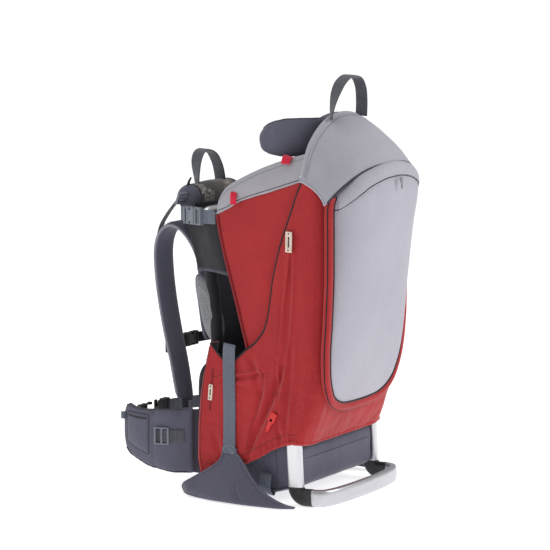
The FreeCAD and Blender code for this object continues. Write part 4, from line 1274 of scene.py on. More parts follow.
# (y, z) outline of the mesh bolster at the side of the frame.
BOLSTER = [(70, 281), (86, 294), (97, 322), (106, 358), (112, 392), (108, 404), (96, 402),
           (78, 386), (62, 348), (52, 314), (54, 292)]
BOLSTER_RADII = (0.05, 0.2, 0.35, 0.5, 0.62, 0.74, 0.84, 0.91, 0.96, 0.99, 1.0)
# (x, y, z) of the cloth sleeve over the frame tube on the right.
SLEEVE = [(105, 62, 262), (105, 62.5, 300), (102, 68, 345), (95, 84, 430), (88, 98, 485),
          (84.5, 105, 514)]
bolster = spline(BOLSTER, 60, closed=True)
bolster_y, bolster_z = bolster.mean(axis=0)


def bolster_ring(x_at, r):
    return [(x_at(y, z), bolster_y + (y - bolster_y) * r, bolster_z + (z - bolster_z) * r)
            for y, z in bolster]


def liner_rows(side):
    """Dark sheet between the back panel and the wing, low to high, front to rear."""
    rows = []
    for i in range(24):
        v = i / 23
        z = 417 + v * (516 - 417)
        front = board_y(z) + 1
        rear = float(np.interp(z, [417, 443, 489, 527], [4, 10, 24, 32]))
        row = []
        for j in range(30):
            u = j / 29
            belly = math.sin(math.pi * u)
            x = -110 - 27 * smooth01(u * 1.1) - 2.2 * belly + 1.2 * wob(u * 4, v * 3, side)
            row.append((-side * x, front + (rear - front) * u, z + 3 * belly * (1 - v)))
        rows.append(row)
    return rows


for hand, side in SIDES:
    pad, rim = panel(f"back_pad_{hand}", (26, 111) if side > 0 else (-111, -26), (284, 392),
                     lambda z: board_y(z) + 12, 17, MESH, cells=(16, 20), power=4.5, crown=4,
                     channels=(338,))
    attach(puff(pad, pressure=4.5, cap=6, voxel=5), replaces=f"back_pad_{hand}")
    piping(f"back_pad_piping_{hand}", rim, 150, 2.6, CHARCOAL)
    rings = [bolster_ring(lambda y, z: side * (100 + 15 * (1 - r ** 3.0) ** 0.5
                                               + 0.5 * wob(y / 9, z / 9, side) * (1 - r)), r)
             for r in BOLSTER_RADII]
    rings.append(bolster_ring(lambda y, z: side * 88, 0.97))
    attach(subsurf(grid(f"side_bolster_{hand}", rings, MESH, around=True, caps=True)))
    piping(f"side_bolster_piping_{hand}", at_x(side * 99.5, bolster), 120, 2.0, CHARCOAL)
    attach(sweep(f"frame_sleeve_{hand}", spline([(side * x, y, z) for x, y, z in SLEEVE], 60),
                 (1, 0, 0), lambda i, end: oval(23 + 1.0 * math.sin(i * 0.7),
                                                23 + 0.8 * math.sin(i * 0.5 + 1), 2.2, 18),
                 BLACK))
    rows = liner_rows(side)
    attach(solid(grid(f"side_liner_{hand}", rows, BLACK), 3.0, offset=0.0))
    attach(sweep(f"side_liner_hem_{hand}",
                 spline([(x * 1.004, y, z + 0.5) for x, y, z in rows[0]], 40),
                 (0, 0, 1), oval(7, 4.6, 2.6, 12), CHARCOAL_DARK))

pad, rim = panel("lumbar_pad", (-113, 113), (54, 236), lambda z: 94, 30, MESH_DARK,
                 cells=(34, 32), power=6.5, crown=3, channels=(116, 176))
attach(puff(pad, pressure=4.5, cap=6, voxel=6), replaces="lumbar_pad")
piping("lumbar_piping", [(x, y + 1.5, z) for x, y, z in rim], 240, 3.2, CHARCOAL_DARK)

pad, rim = panel("seat_back_pad", (-99, 99), (302, 584), lambda z: -171, 20, LINING,
                 cells=(24, 34), power=5, crown=5, channels=(372, 442, 512))
attach(puff(pad, pressure=4.0, cap=6, voxel=6), replaces="seat_back_pad")
piping("seat_back_piping", rim, 240, 2.2, SEAM)

pad, rim = panel("harness_yoke_pad", (-84, 84), (422, 485), lambda z: board_y(z) + 13.5, 9,
                 CHARCOAL, cells=(30, 16), power=5, crown=1.5, channels=(454,))
attach(subsurf(pad), "harness", "harness_yoke")
piping("harness_yoke_piping", rim, 160, 1.8, SEAM, "harness")

# ------------------------------------------------------------------ roll before the cockpit
ROLL_Y, ROLL_Z = 147, 545
rows = []
for i in range(46):
    u = -1 + 2 * i / 45
    radius = 23.5 + 1.8 * (1 - u * u) - 2.0 * max(0, (abs(u) - 0.93) / 0.07) ** 2
    rows.append([(u * 77, ROLL_Y + radius * math.cos(a),
                  ROLL_Z + 2.5 * (1 - u * u) + radius * 0.98 * math.sin(a)) for a in turn(40)])
roll = grid("drool_roll", rows, LEAF_PRINT, around=True, caps=True)
attach(puff(roll, pressure=3.5, cap=3, voxel=4), replaces="drool_pad")
# (x past the roll's end, share of the radius) of the end caps.
ROLL_CAP = ((-11, 1.0), (-6, 1.05), (-1, 1.05), (2.5, 0.98), (5.0, 0.82), (6.2, 0.5),
            (6.4, 0.15))


def roll_ring(x, radius_y, radius_z, count):
    return [(x, ROLL_Y + radius_y * math.cos(a), ROLL_Z + radius_z * math.sin(a))
            for a in turn(count)]


for hand, side in SIDES:
    rows = [roll_ring(side * (74 + dx), 23.6 * share, 23.2 * share, 40)
            for dx, share in ROLL_CAP]
    attach(subsurf(grid(f"drool_roll_cap_{hand}", rows, CHARCOAL, around=True, caps=True)))
    attach(cord(f"drool_roll_cap_seam_{hand}", roll_ring(side * 64, 25.0, 24.6, 60), 1.2, SEAM,
                6, True))
path = spline([(-74, 148, 563), (-75.5, 147, 570), (-76, 144, 577), (-75, 141, 582),
               (-72.5, 141, 583), (-71.5, 145, 576), (-72, 147, 566)], 40)
attach(cord("drool_cord_loop", path, 1.4, PIPING))
path = spline([(-78, 128, 523), (-40, 125, 521), (0, 124, 520), (40, 125, 521),
               (78, 128, 523)], 60)
attach(sweep("drool_sling", path, (0, 0, 1), oval(30, 4, 3, 14), BLACK))

# ------------------------------------------------------------------ seat and head support
SEAT_Z = 0.277      # metres
pad, _ = panel("seat_cushion_top", (-97, 97), (-148, 32), lambda z: 0, 26, LINING,
               cells=(26, 24), power=3.5, crown=4, channels=(-90, -30))
# laid flat: the pad was made facing +Y
for v in pad.data.vertices:
    x, y, z = v.co
    v.co = V((x, z, SEAT_Z + y))
pad.data.update()
attach(puff(pad, pressure=4.0, cap=6, voxel=6), "seat", "seat_cushion")
rows = []
for i in range(26):
    v = i / 25
    y = 40 + 6 * smooth01(v) - 4 * (1 - v)
    width = 90 - 16 * math.sin(math.pi * v) + 2 * wob(v * 5, 1)
    rows.append([(a, y + b, 268 + v * 130) for a, b in oval(width, 16, 3.0, 26)])
front_panel = grid("seat_front_panel", rows, LINING, around=True, caps=True)
attach(puff(front_panel, pressure=4.0, cap=4, voxel=5), "seat")

# (x, y, thickness, height, z) from the left end to the middle.
HEADREST = [(-83, -27, 17, 26, 659), (-88, -36, 23, 46, 662), (-89, -51, 26, 63, 666),
            (-85, -76, 27, 73, 670), (-70, -104, 26, 74, 672), (-44, -124, 24, 72, 672),
            (0, -131, 22, 70, 672)]
headrest = spline(mirrored(HEADREST), 64)


def headrest_section(i, end):
    share = 0.55 if end else 1.0
    return scale_oval(oval(headrest[i][3], headrest[i][2], 2.5, 28), share, share)


pad = sweep("headrest_pad", [(row[0], row[1], row[4]) for row in headrest], (0, 0, 1),
            headrest_section, CHARCOAL)
puff(pad, pressure=4.5, cap=7, voxel=5)
for v in pad.data.vertices:
    v.co.x = max(-0.104, min(0.104, v.co.x))
headrest_surface = surface_of(pad)
attach(pad, "head_support", "headrest")
path = [(x - (7 if x < 0 else -7) * min(1, abs(x) / 40), y, 712)
        for x, y, *_ in headrest[2:-2]]
laid, _ = onto(headrest_surface, spline(path, 120), 0.3, ray=(0, 0, -1))
attach(cord("headrest_seam_a", laid, 1.3, SEAM, 6), "head_support")

# ------------------------------------------------------------------ child harness
strap = ribbon("child_strap_left",
               [(-36, -160, 570), (-35, -153, 540), (-34, -151.5, 470), (-32, -149, 380),
                (-27, -130, 330), (-20, -112, 306)], (1, 0, 0), 25, 2.4, WEB_DARK, 36)
attach_pair(strap, ("seat", "seat"), ("child_harness", None))
for hand, side in SIDES:
    path = spline([(side * 34.5, -150, 545), (side * 34, -148.5, 500), (side * 33, -147, 440),
                   (side * 32.3, -146, 400)], 40)
    pad = sweep(f"child_strap_pad_{hand}", path, (1, 0, 0),
                lambda i, end: scale_oval(oval(38, 9, 2.8, 18), 0.86 if end else 1,
                                          0.5 if end else 1), CHARCOAL)
    attach(subsurf(pad), "seat")
kit = Kit("child_buckle_shell", (0, -103, 318))
kit.box(24, 7, 21, 5, 3).box(15, (5.5, 8.4), 13, 2.4, 3)
kit.box((-20, -9), 5, (18, 30), 2.5).box((9, 20), 5, (18, 30), 2.5)
kit.box(9, 5, (-31, -18), 2.5)
kit.build(BLACK_PLASTIC, "seat", "harness_buckle")
kit = Kit("child_buckle_button", (0, -97.5, 318))
kit.disc(y=2.5, radius=8.2, length=5, segments=32, bevel=1.2)
kit.box(5, (4.2, 5.6), 1.1, 0.5, 1)
kit.build(RED_PLASTIC, "button", "buckle_button")
attach(ribbon("crotch_strap", [(0, -103, 290), (0, -96, 280), (0, -60, 294), (0, -10, 296)],
              (1, 0, 0), 25, 2.2, WEB_DARK, 20), "seat")


# ------------------------------------------------------------------ buckles
# Both halves of a side release buckle share an origin and an x axis, which runs from the
# fixed half to the loose half. The webbing's width is along z.
def female_clip(name, origin, x, width, thick, length):
    def span(low, high):
        return (low * length, high * length)
    half = width / 2
    kit = Kit(name + "_female", origin, x)
    kit.box(span(0, 0.10), thick / 2, half, 1.6, 3)
    kit.pair(span(0.08, 0.22), thick * 0.34, (half * 0.76, half), 1.2)
    kit.box(span(0.19, 0.32), thick / 2, half, 1.8, 3)
    for y in ((-thick / 2, -thick * 0.18), (thick * 0.18, thick / 2)):
        kit.box(span(0.29, 0.52), y, half * 0.66, 1.3)
    for y in ((-thick / 2, -thick * 0.2), (thick * 0.2, thick / 2)):
        kit.box(span(0.49, 0.62), y, half, 1.3)
    kit.box(span(0.49, 0.62), thick * 0.3, half * 0.2, 0.6)
    return kit.box(span(0.24, 0.30), thick * 0.56, half * 0.5, 0.6)


def male_clip(name, origin, x, width, thick, length):
    def span(low, high):
        return (low * length, high * length)
    half = width / 2
    kit = Kit(name + "_male", origin, x)
    kit.pair(span(0.34, 0.70), thick * 0.17, (half * 0.74, half * 0.97), 0.8)
    kit.pair(span(0.33, 0.44), thick * 0.3, (half * 0.70, half * 1.02), 1.0)
    kit.box(span(0.63, 0.73), thick * 0.42, half, 1.5, 3)
    kit.pair(span(0.71, 0.93), thick * 0.3, (half * 0.78, half), 1.1)
    kit.box(span(0.78, 0.83), thick * 0.25, half * 0.9, 0.8)
    return kit.box(span(0.90, 1.0), thick * 0.36, half, 1.3, 3)


def slider(name, origin, x, z, width, mat, body, replaces=None, length=20, thick=4.2):
    """A ladder lock or tri-glide: two side rails and three cross bars."""
    kit = Kit(name, origin, x, z)
    half = width / 2
    kit.pair(length / 2, thick / 2, (half - 3, half), 1.2)
    # (place of the bar, how far its back is cut, how far its face is raised)
    for i, cut, rise in ((0, 0, 1.4), (1, 0.6, 0), (2, 0, 0)):
        x = -length / 2 + 2 + i * (length - 4) / 2
        kit.box((x - 2, x + 2), (-thick / 2 + cut, thick / 2 + rise), half - 1, 1.2)
    kit.build(mat, body, replaces)


for hand, side in SIDES:
    along = V((side * 0.42, -0.908, 0.03)).normalized()
    out = V((side * 0.908, 0.42, 0))
    start = V((side * 95, 148, 518))

    def strap_point(distance, offset):
        return tuple(start + along * distance + out * offset)

    def strap(name, stations, thick):
        return ribbon(name, [strap_point(*s) for s in stations], (0, 0, 1), 26, thick,
                      WEB_BLUE, 26)
    attach(strap(f"side_strap_front_{hand}", [(-1, -0.5), (4, 1.6), (12, 3.9), (30, 7.5)], 2.2),
           replaces="side_straps" if side < 0 else None)
    attach(strap(f"side_strap_tail_{hand}", [(33, 4.5), (20, 1.6), (8, -0.4), (0, -2.4)], 2.0))
    rear = tidy(strap(f"side_strap_rear_{hand}",
                      [(81, 7.8), (86, 6.6), (92, 4), (104, 1.0), (118, -1.5)], 2.2))
    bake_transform(rear)
    clip = (f"side_clip_{hand}", strap_point(28, 8.0), along, 33, 12, 58)
    female_clip(*clip).build(GREY_PLASTIC, "pack", f"side_buckle_female_{hand}")
    male_clip(*clip).build(GREY_PLASTIC, f"side_clip_{hand}", f"side_buckle_male_{hand}")

# ------------------------------------------------------------------ shoulder harness
# (x, y, z, width, thickness) of the right strap, from the back board over to its low end.
SHOULDER = [(54, 117, 406, 52, 9), (56, 120, 432, 56, 11), (58, 134, 462, 57, 13),
            (61, 156, 486, 57, 14), (65, 178, 492, 57, 14), (69, 197, 477, 57, 14),
            (71, 205.5, 446, 57, 14), (72, 203.5, 400, 57, 14), (74, 195, 347, 56, 14),
            (77, 181, 288, 55, 13), (82, 164, 232, 53, 13), (91, 149, 187, 50, 12),
            (100, 139, 162, 42, 10)]
# Webbing on the right: name, points, across, width, thickness, count.
HARNESS_WEBS = (
    ("load_lifter", [(71, 212, 452), (72, 214, 470), (79, 203, 492), (88, 182, 516),
                     (94, 160, 538), (95, 150, 548)], (1, 0.2, 0), 20, 2.0, 60),
    ("lower_web", [(100, 140, 168), (104, 134, 146), (106, 124, 122), (106, 115, 96),
                   (106, 109, 80)], (1, 0, 0), 21, 2.2, 50),
    ("lower_web_tail", [(105, 133.5, 140), (106, 136, 128), (107, 134, 108), (108, 131, 84),
                        (107, 133, 66)], (1, 0, 0), 20, 1.8, 50))
STERNUM_Z = 260


def shoulder_strap(hand, side):
    table = spline([(side * x, *rest) for x, *rest in SHOULDER], 110)
    points = table[:, :3]
    stations = frames(points, (1, 0, 0))
    outward = [-normal for _, _, normal in stations]

    def section(i, end):
        share = 0.7 if end else 1.0
        width, thick = table[i][3], table[i][4]
        return [(a, b * (1.0 - 0.22 * (abs(a) / (width / 2)) ** 4)
                 + 0.35 * wob(a / 12, i / 7, side))
                for a, b in oval(width * share, thick * share, 3.4, 26)]

    def on_strap(i, across, height):
        return tuple(V(points[i]) + stations[i][1] * across + outward[i] * height)
    pad = sweep(f"shoulder_strap_pad_{hand}", points, (1, 0, 0), section, CHARCOAL)
    attach(subsurf(pad), "harness", f"shoulder_strap_{hand}")
    for edge, sign in (("outer", 1), ("inner", -1)):
        rim = [on_strap(i, sign * table[i][3] / 2 * 0.985, 0) for i in range(2, 108)]
        attach(cord(f"shoulder_piping_{edge}_{hand}", spline(rim, 150), 2.7, PIPING_GREY, 9),
               "harness")
        row = [on_strap(i, sign * (table[i][3] / 2 - 6.5), table[i][4] / 2 * 0.97)
               for i in range(6, 104)]
        attach(stitches(f"shoulder_stitch_{edge}_{hand}", row,
                        [tuple(n) for n in outward[6:104]], THREAD_DARK), "harness")
    web = [on_strap(i, 0, table[i][4] / 2 + 0.9) for i in range(46, 106, 4)]
    attach(ribbon(f"shoulder_ladder_web_{hand}", web, (1, 0, 0), 21, 1.8, WEB_DARK, 90),
           "harness")
    for i in (50, 59, 73, 80, 88, 96):
        kit = Kit(f"bar_tack_{hand}_{i}", on_strap(i, 0, table[i][4] / 2 + 1.9), (1, 0, 0),
                  tuple(outward[i]))
        kit.box(10.5, 1.4, 0.6, 0.5, 1).build(THREAD_DARK, "harness")


for hand, side in SIDES:
    left = side < 0
    shoulder_strap(hand, side)
    for part, points, across, width, thick, count in HARNESS_WEBS:
        # across is not mirrored
        web = ribbon(f"{part}_{hand}", [(side * x, y, z) for x, y, z in points], across, width,
                     thick, WEB_DARK, count)
        attach(web, "harness",
               "harness_webbing" if left and part == "load_lifter" else None)
    slider(f"ladder_lock_upper_{hand}", (side * 95, 147.5, 546), (0, 0.35, -0.94), (1, 0, 0),
           30, GREY_PLASTIC, "harness", "ladder_locks" if left else None, length=22, thick=5)
    slider(f"ladder_lock_lower_{hand}", (side * 105, 133.0, 136), (0, -0.1, -0.99), (1, 0, 0),
           32, GREY_PLASTIC, "harness", length=25, thick=5.5)
    slider(f"sternum_slider_{hand}", (side * 80, 186.5, STERNUM_Z), (1, 0, 0), (0, 0, 1), 26,
           BLACK_PLASTIC, "sternum", length=20, thick=5)
    # the buckle sits off centre, so the two ends of the chest strap differ
    near, end = (34, 24) if left else (40, 28)
    points = [(side * x, y, STERNUM_Z) for x, y in
              ((90, 186), (78, 188.5), (58, 190.5), (near, 193.5), (end, 197))]
    attach(ribbon(f"sternum_web_{hand}", points, (0, 0, 1), 20, 1.8, PIPING, 40),
           "sternum_clip" if left else "sternum", None if left else "sternum_webbing")
clip = ("sternum_buckle", (29, 197.8, STERNUM_Z), (-1, 0, 0), 27, 11, 56)
female_clip(*clip).build(BLACK_PLASTIC, "sternum", "sternum_buckle_female")
male_clip(*clip).build(BLACK_PLASTIC, "sternum_clip", "sternum_buckle_male")

# ------------------------------------------------------------------ hip belt
# (x, y) of the right wing in plan, from its root forward.
HIP_PLAN = [(126, 100), (128, 108), (134, 120), (146, 142), (152, 170), (152, 200),
            (147.5, 226), (141, 243)]
hip_plan = spline(HIP_PLAN, 60)
hip_y = hip_plan[:, 1]
hip_top = np.interp(hip_y, [88, 130, 200, 232, 246], [158, 156, 152, 157, 150])
hip_low = np.interp(hip_y, [88, 130, 180, 226, 248], [30, 29, 36, 56, 80])
# (x, y) of the belt webbing forward of the right wing.
HIP_WEB = [(161.5, 190), (160, 216), (152.5, 235), (138, 247), (118, 256), (90, 268), (66, 277),
           (46, 281.6)]
HIP_RAY_X = 160     # outside the wing, where lines are cast inward from
HIP_SPLIT_Y = 169
HIP_WEB_Z = 112


def hip_rows(side):
    rows = []
    for i, (x, y) in enumerate(hip_plan):
        dx, dy = hip_plan[min(59, i + 1)] - hip_plan[max(0, i - 1)]
        length = math.hypot(dx, dy)
        out_x, out_y = dy / length, -dx / length
        half = (hip_top[i] - hip_low[i]) / 2 * (1.0 - 0.28 * max(0, (i - 56) / 3) ** 2)
        middle = (hip_top[i] + hip_low[i]) / 2
        thick = 15.5 * (0.55 if i in (0, 59) else 1)
        row = []
        for up, out in oval(2 * half, thick, 4.6, 40):
            z = middle + up
            outer = out > 0
            out += 0.6 * wob(y / 22, z / 20, side)
            if outer:
                out += 1.2 * math.cos(up / half * math.pi / 2)
                out -= 2.4 * math.exp(-((y - HIP_SPLIT_Y) / 2.2) ** 2)
            row.append((side * (x + out_x * out), y + out_y * out, z))
        rows.append(row)
    return rows


def hip_pocket(hand, side, body, surface, inward):
    """A zipped pocket lying on the wing."""
    rows = []
    for i in range(17):
        v = i / 16
        line = []
        for j in range(23):
            y = 178 + j / 22 * 52
            top = float(np.interp(y, [178, 230], [142, 144])) - 2
            low = float(np.interp(y, [178, 230], [62, 80])) + 2
            line.append((side * HIP_RAY_X, y, low + (top - low) * v))
        row = []
        for j, (point, normal) in enumerate(zip(*onto(surface, line, 0.0, inward))):
            swell = max(0, math.sin(math.pi * v)) * max(0, math.sin(math.pi * j / 22))
            row.append(tuple(V(point) + V(normal) * (0.4 + 5.5 * swell ** 0.45)))
        rows.append(row)
    pocket = grid(f"hip_pocket_{hand}", rows, CHARCOAL)
    face_towards(pocket, (side, 0, 0))
    attach(solid(pocket, 1.6), body)
    seam(f"hip_pocket_zip_{hand}", surface_of(pocket),
         at_x(side * HIP_RAY_X, [(182, 133), (205, 134), (227, 135)]), PIPING, radius=1.5,
         lift=0.2, count=50, thread=THREAD_DARK, offset=(0, 0, -5), ray=inward, body=body)
    edge = (rows[0][1:-1] + [row[-1] for row in rows[1:-1]] + rows[-1][1:-1][::-1]
            + [row[0] for row in rows[1:-1]][::-1])
    attach(cord(f"hip_pocket_edge_{hand}", spline(edge, 120, closed=True), 0.9, SEAM, 6, True),
           body)


for hand, side in SIDES:
    body = f"hip_{hand}"
    inward = (-side, 0, 0)
    ray_x = side * HIP_RAY_X
    wing = grid(f"hip_wing_pad_{hand}", hip_rows(side), CHARCOAL, around=True, caps=True)
    puff(wing, pressure=3.0, cap=3, voxel=4, smooth=False)
    hip_surface = surface_of(wing)
    attach(subsurf(wing), body, f"hip_wing_{hand}")
    for part, heights, inset in (("top", hip_top, -4), ("low", hip_low, 4)):
        seam(f"hip_{part}_piping_{hand}", hip_surface,
             [(ray_x, y, z + inset) for y, z in zip(hip_y[3:57], heights[3:57])], SEAM,
             radius=1.6, lift=0.2, count=110, thread=THREAD_DARK, offset=(0, 0, inset * 1.5),
             ray=inward, body=body)
    seam(f"hip_split_seam_{hand}", hip_surface,
         [(ray_x, HIP_SPLIT_Y, z) for z in (40, 80, 110, 150)], SEAM, radius=0.9, lift=-1.0,
         count=60, thread=THREAD_DARK, offset=(0, 4.2, 0), ray=inward, body=body)
    # short root panel sewn to the pack, which the wing turns on
    rows = []
    for i in range(14):
        v = i / 13
        rows.append([(side * (118 + 7 * smooth01(v) + b), 76 + 34 * v, 92 + a)
                     for a, b in oval(126 - 6 * v, 11 * (0.6 if i == 0 else 1), 5.0, 34)])
    attach(subsurf(grid(f"hip_root_{hand}", rows, CHARCOAL_DARK, around=True, caps=True)))
    hip_pocket(hand, side, body, hip_surface, inward)
    # belt webbing over the wing with a tri-glide, then forward to the buckle
    laid, _ = onto(hip_surface, [(ray_x, y, 103) for y in np.linspace(112, 166, 12)], 1.4,
                   inward)
    attach(ribbon(f"hip_web_over_{hand}", laid, (0, 0, 1), 25, 2.0, WEB_DARK, 50), body)
    laid, _ = onto(hip_surface, [(ray_x, 150, 103)], 3.0, inward)
    slider(f"hip_triglide_{hand}", laid[0], (-0.3, 0.95, 0), (0, 0, 1), 33, GREY_PLASTIC, body,
           length=30, thick=5)
    attach(ribbon(f"hip_web_front_{hand}", [(side * x, y, HIP_WEB_Z) for x, y in HIP_WEB],
                  (0, 0, 1), 25, 2.2, WEB_DARK, 90), body, f"hip_webbing_{hand}")
    attach(ribbon(f"hip_loop_{hand}", [(side * 157, 236, 132), (side * 161, 240, 133),
                                       (side * 157, 246, 132), (side * 150, 243, 131)],
                  (0, 0, 1), 14, 1.8, WEB_BLUE, 24), body)
female_clip("hip_buckle_f", (50, 281.6, HIP_WEB_Z), (-1, 0, 0), 34, 13, 62).build(
    BLACK_PLASTIC, "hip_right", "hip_buckle_female")
male_clip("hip_buckle_m", (12, 281.6, HIP_WEB_Z), (-1, 0, 0), 34, 13, 60).build(
    BLACK_PLASTIC, "hip_left", "hip_buckle_male")

# ------------------------------------------------------------------ stirrups
FLAP_ROWS, FLAP_COLUMNS = 44, 50
FLAP_CREASE = 0.60      # share of the way from the front edge to the rear edge
# (y, z) of the flap's front and rear edges, top to bottom.
FLAP_FRONT = [(18, 95), (17.5, 84), (22, 69), (37, 56), (55, 44), (74, 32), (89, 23), (96, 15),
              (93, 8)]
FLAP_REAR = [(-9, 95), (-12, 86), (-20, 79), (-34, 67), (-53, 51), (-78, 33), (-105, 20),
             (-131, 11.5), (-157, 6.5)]
rows = []
for i, (front, rear) in enumerate(zip(spline(FLAP_FRONT, FLAP_ROWS),
                                      spline(FLAP_REAR, FLAP_ROWS))):
    v = i / (FLAP_ROWS - 1)
    row = []
    for j in range(FLAP_COLUMNS):
        u = j / (FLAP_COLUMNS - 1)
        belly = math.sin(math.pi * u)
        y, z = front + (rear - front) * u
        z += -8.0 * belly * v * (1 - v) * 2 - 6 * belly * v ** 3
        # the flap flares outward below, bellies, and is creased near its low edge
        x = 152.6 + 35.5 * smooth01((96 - z) / 92) + (12 * v ** 1.6 + 5 * v) * belly ** 0.8
        x += 1.0 * wob(y / 34, z / 26) * min(1, v * 4)
        x -= (2.6 * math.exp(-((u - FLAP_CREASE) / 0.035) ** 2) * smooth01((v - 0.45) * 4)
              * smooth01((0.95 - v) * 5))
        x -= 15 * max(0, (y - 70) / 27) ** 2 + 5 * max(0.0, (v - 0.9) / 0.1) ** 2
        row.append((-x, y, max(z, 4.8)))
    rows.append(row)
flap = grid("stirrup_flap_left", rows, [CHARCOAL, CHARCOAL_DARK])
face_towards(flap, (-1, 0, 0))
flap_surface = surface_of(flap)
attach_pair(solid(flap, 3.6, inner=1))
edge = [row[0] for row in rows] + rows[-1][1:] + [row[-1] for row in rows[-2::-1]]
attach_pair(sweep("stirrup_binding_left", spline(edge, 240), (1, 0, 0),
                  oval(4.8, 4.4, 2.2, 10), CHARCOAL))


def flap_stitches(letter, points):
    attach_pair(stitches(f"stirrup_stitch_{letter}_left", *onto(flap_surface, points, 0.2),
                         THREAD_DARK))


flap_stitches("a", spline(at_x(-160, [(22, 84), (4, 81), (-14, 84)]), 30))
for letter, j, shift in (("b", 2, -3.5), ("c", -3, 3.5)):
    line = [row[j] for row in rows[4:FLAP_ROWS - 3]]
    flap_stitches(letter, [(x, y + shift, z - 2) for x, y, z in line])
# dark cord laid along the flap's crease: painted shade in the fold
crease_column = int(FLAP_COLUMNS * FLAP_CREASE)
laid, _ = onto(flap_surface, [row[crease_column] for row in rows[22:FLAP_ROWS - 6]], 0.0)
attach_pair(cord("stirrup_crease_left", laid, 0.7, SEAM, 6))
web = ribbon("stirrup_web_left",
             [(-150.4, 4.5, 290), (-151.5, 5, 284), (-152.8, 5, 270), (-153.4, 4.5, 230),
              (-153.0, 4, 170), (-153.2, 4, 120), (-154.4, 4, 84)],
             (0, 1, 0), 27, 2.2, WEB_BLUE, 90)
attach_pair(web, replaces=("stirrup_left", "stirrup_right"))
box_line = at_x(-155.2, [(-6, 86), (-6, 98), (14, 98), (14, 86), (-6, 86), (14, 98)])
attach_pair(stitches("stirrup_box_stitch_left", spline(box_line, 60), [(-1, 0, 0)] * 60,
                     THREAD_GREY, pitch=3.2, size=2.2))


# ------------------------------------------------------------------ carry handles
def handle(end, points, twist_x, twist_y):
    """A webbing loop. Its left end is twisted towards +X by the two amounts."""
    def across(u):
        twist = 1 - smooth01(u * 2.6)
        return (twist_x * twist, 1 - twist_y * twist, 0.05)
    attach(ribbon(f"{end}_handle_web", points, across, 25, 2.4, WEB_DARK, 120),
           f"handle_{end}", f"{end}_handle")


handle("front", [(-39, 149, 562), (-40, 150.5, 590), (-37, 152, 611), (-26, 153.5, 626),
                 (-5, 154.5, 631), (18, 153.5, 622), (32, 152, 604), (39, 150.5, 584),
                 (42, 149, 562)], twist_x=0.6, twist_y=0.25)
handle("rear", [(-52, -153, 704), (-49, -154, 726), (-40, -155, 750), (-24, -156, 770),
                (2, -157, 781.5), (32, -156.5, 777), (50, -155.5, 759), (56.5, -154.5, 733),
                (58, -153, 704)], twist_x=0.75, twist_y=0.35)


# ------------------------------------------------------------------ zips, pullers and tabs
def puller(name, origin, x, body, length, width, replaces=None):
    half, end = width / 2, length / 2
    kit = Kit(name, origin, x, (0, 1, 0))
    kit.pair(end, 1.6, (half - 3.4, half), 1.3, 3)
    kit.box((-end, -end + 8), 1.8, half, 1.5, 3).box((end - 8, end), 1.8, half, 1.5, 3)
    kit.box(end - 7, 0.8, half - 3, 0.5)
    kit.build(BEIGE_PLASTIC, body, replaces)
    # black blocks that fill the puller's slot and its two end holes: painted shade standing in for
    # the openings
    kit = Kit(name + "_slot", origin, x, (0, 1, 0))
    kit.box(end - 9, 1.3, 1.5, 0.5).box((-end + 2.6, -end + 5.6), 2.2, 1.6, 0.8)
    kit.box((end - 5.6, end - 2.6), 2.2, 1.6, 0.8)
    kit.build(BLACK_PLASTIC, body)


# (y, z) of the side zip flap, top to bottom.
SIDE_ZIP = [(-127, 505), (-120, 440), (-113, 380), (-106, 310), (-99, 243), (-92, 192)]
# (x, y, z) of the loops on the right.
TAB_LOW = [(146.0, -4, 571), (149.4, -4, 568), (150.6, -4, 560), (150.4, -4, 549)]
TAB_HIGH = [(116, -108, 634), (122, -108, 640), (130, -108, 640.5), (135.5, -108, 634),
            (137.2, -108, 628)]
BASE_LOOP = [(126, -64, 50), (132, -65, 51), (143, -69, 46), (149, -71, 33), (144, -71, 19),
             (133, -70, 13), (126, -69, 21)]
TAB_CORD = [(151.5, -97, 171), (152.6, -95, 166.5), (151.8, -93, 170), (150.4, -95.6, 174.5)]
for hand, side in SIDES:
    left = side < 0
    inward = (-side, 0, 0)

    def loop(name, points, lean, width, mat, count):
        return ribbon(f"{name}_{hand}", [(side * x, y, z) for x, y, z in points],
                      (0, 1, lean), width, 2.2, mat, count)
    puller(f"side_zip_puller_{hand}", (side * 155.7, -126.5, 489), (0, 0.02, -1),
           f"zip_{hand}", 38, 13.5, f"side_zip_slider_{hand}")
    laid, _ = onto(shell_surface, spline(at_x(side * SHELL_X, SIDE_ZIP), 90), 0.5, inward)
    attach(sweep(f"side_zip_flap_{hand}", laid, (0, 1, 0), oval(6.5, 2.4, 2.4, 10), RED),
           replaces="zipper_tapes" if left else None)
    puller(f"front_zip_puller_{hand}", (side * 151.0, 47, 195), (0, 0.08, -1), "pack", 30, 9)
    laid, _ = onto(shell_surface, at_x(side * SHELL_X, [(43, 240), (47, 200), (50, 160)]), 0.3,
                   inward)
    attach(sweep(f"front_zip_flap_{hand}", spline(laid, 40), (0, 1, 0), oval(5, 2, 2.4, 10),
                 RED_DARK))
    attach(loop("rim_tab_low", TAB_LOW, 0.25, 13, WEB_PINK, 24),
           replaces="webbing_tabs" if left else None)
    attach(loop("rim_tab_high", TAB_HIGH, 0.25, 18, WEB_PINK, 24))
    base_loop = attach(loop("base_loop", BASE_LOOP, 0.15, 24, WEB_BLUE, 40))
    # point in metres
    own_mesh(base_loop)
    kit = Kit(f"pull_tab_{hand}", (side * 153.0, -86, 153), (0, -0.42, 0.9), (0, 0.9, 0.42))
    kit.box((-16, 8), 1.9, 4.4, 1.7, 3).box((0, 20), 1.9, 7.4, 1.8, 3)
    kit.box((-21, -13), 1.6, 2.6, 1.2).box((6, 16), 2.5, 3.6, 1.2)
    kit.build(RED_PLASTIC, "pack")
    path = spline([(side * x, y, z) for x, y, z in TAB_CORD], 24, closed=True)
    attach(cord(f"pull_tab_cord_{hand}", path, 1.0, SEAM_RED, 6, True))
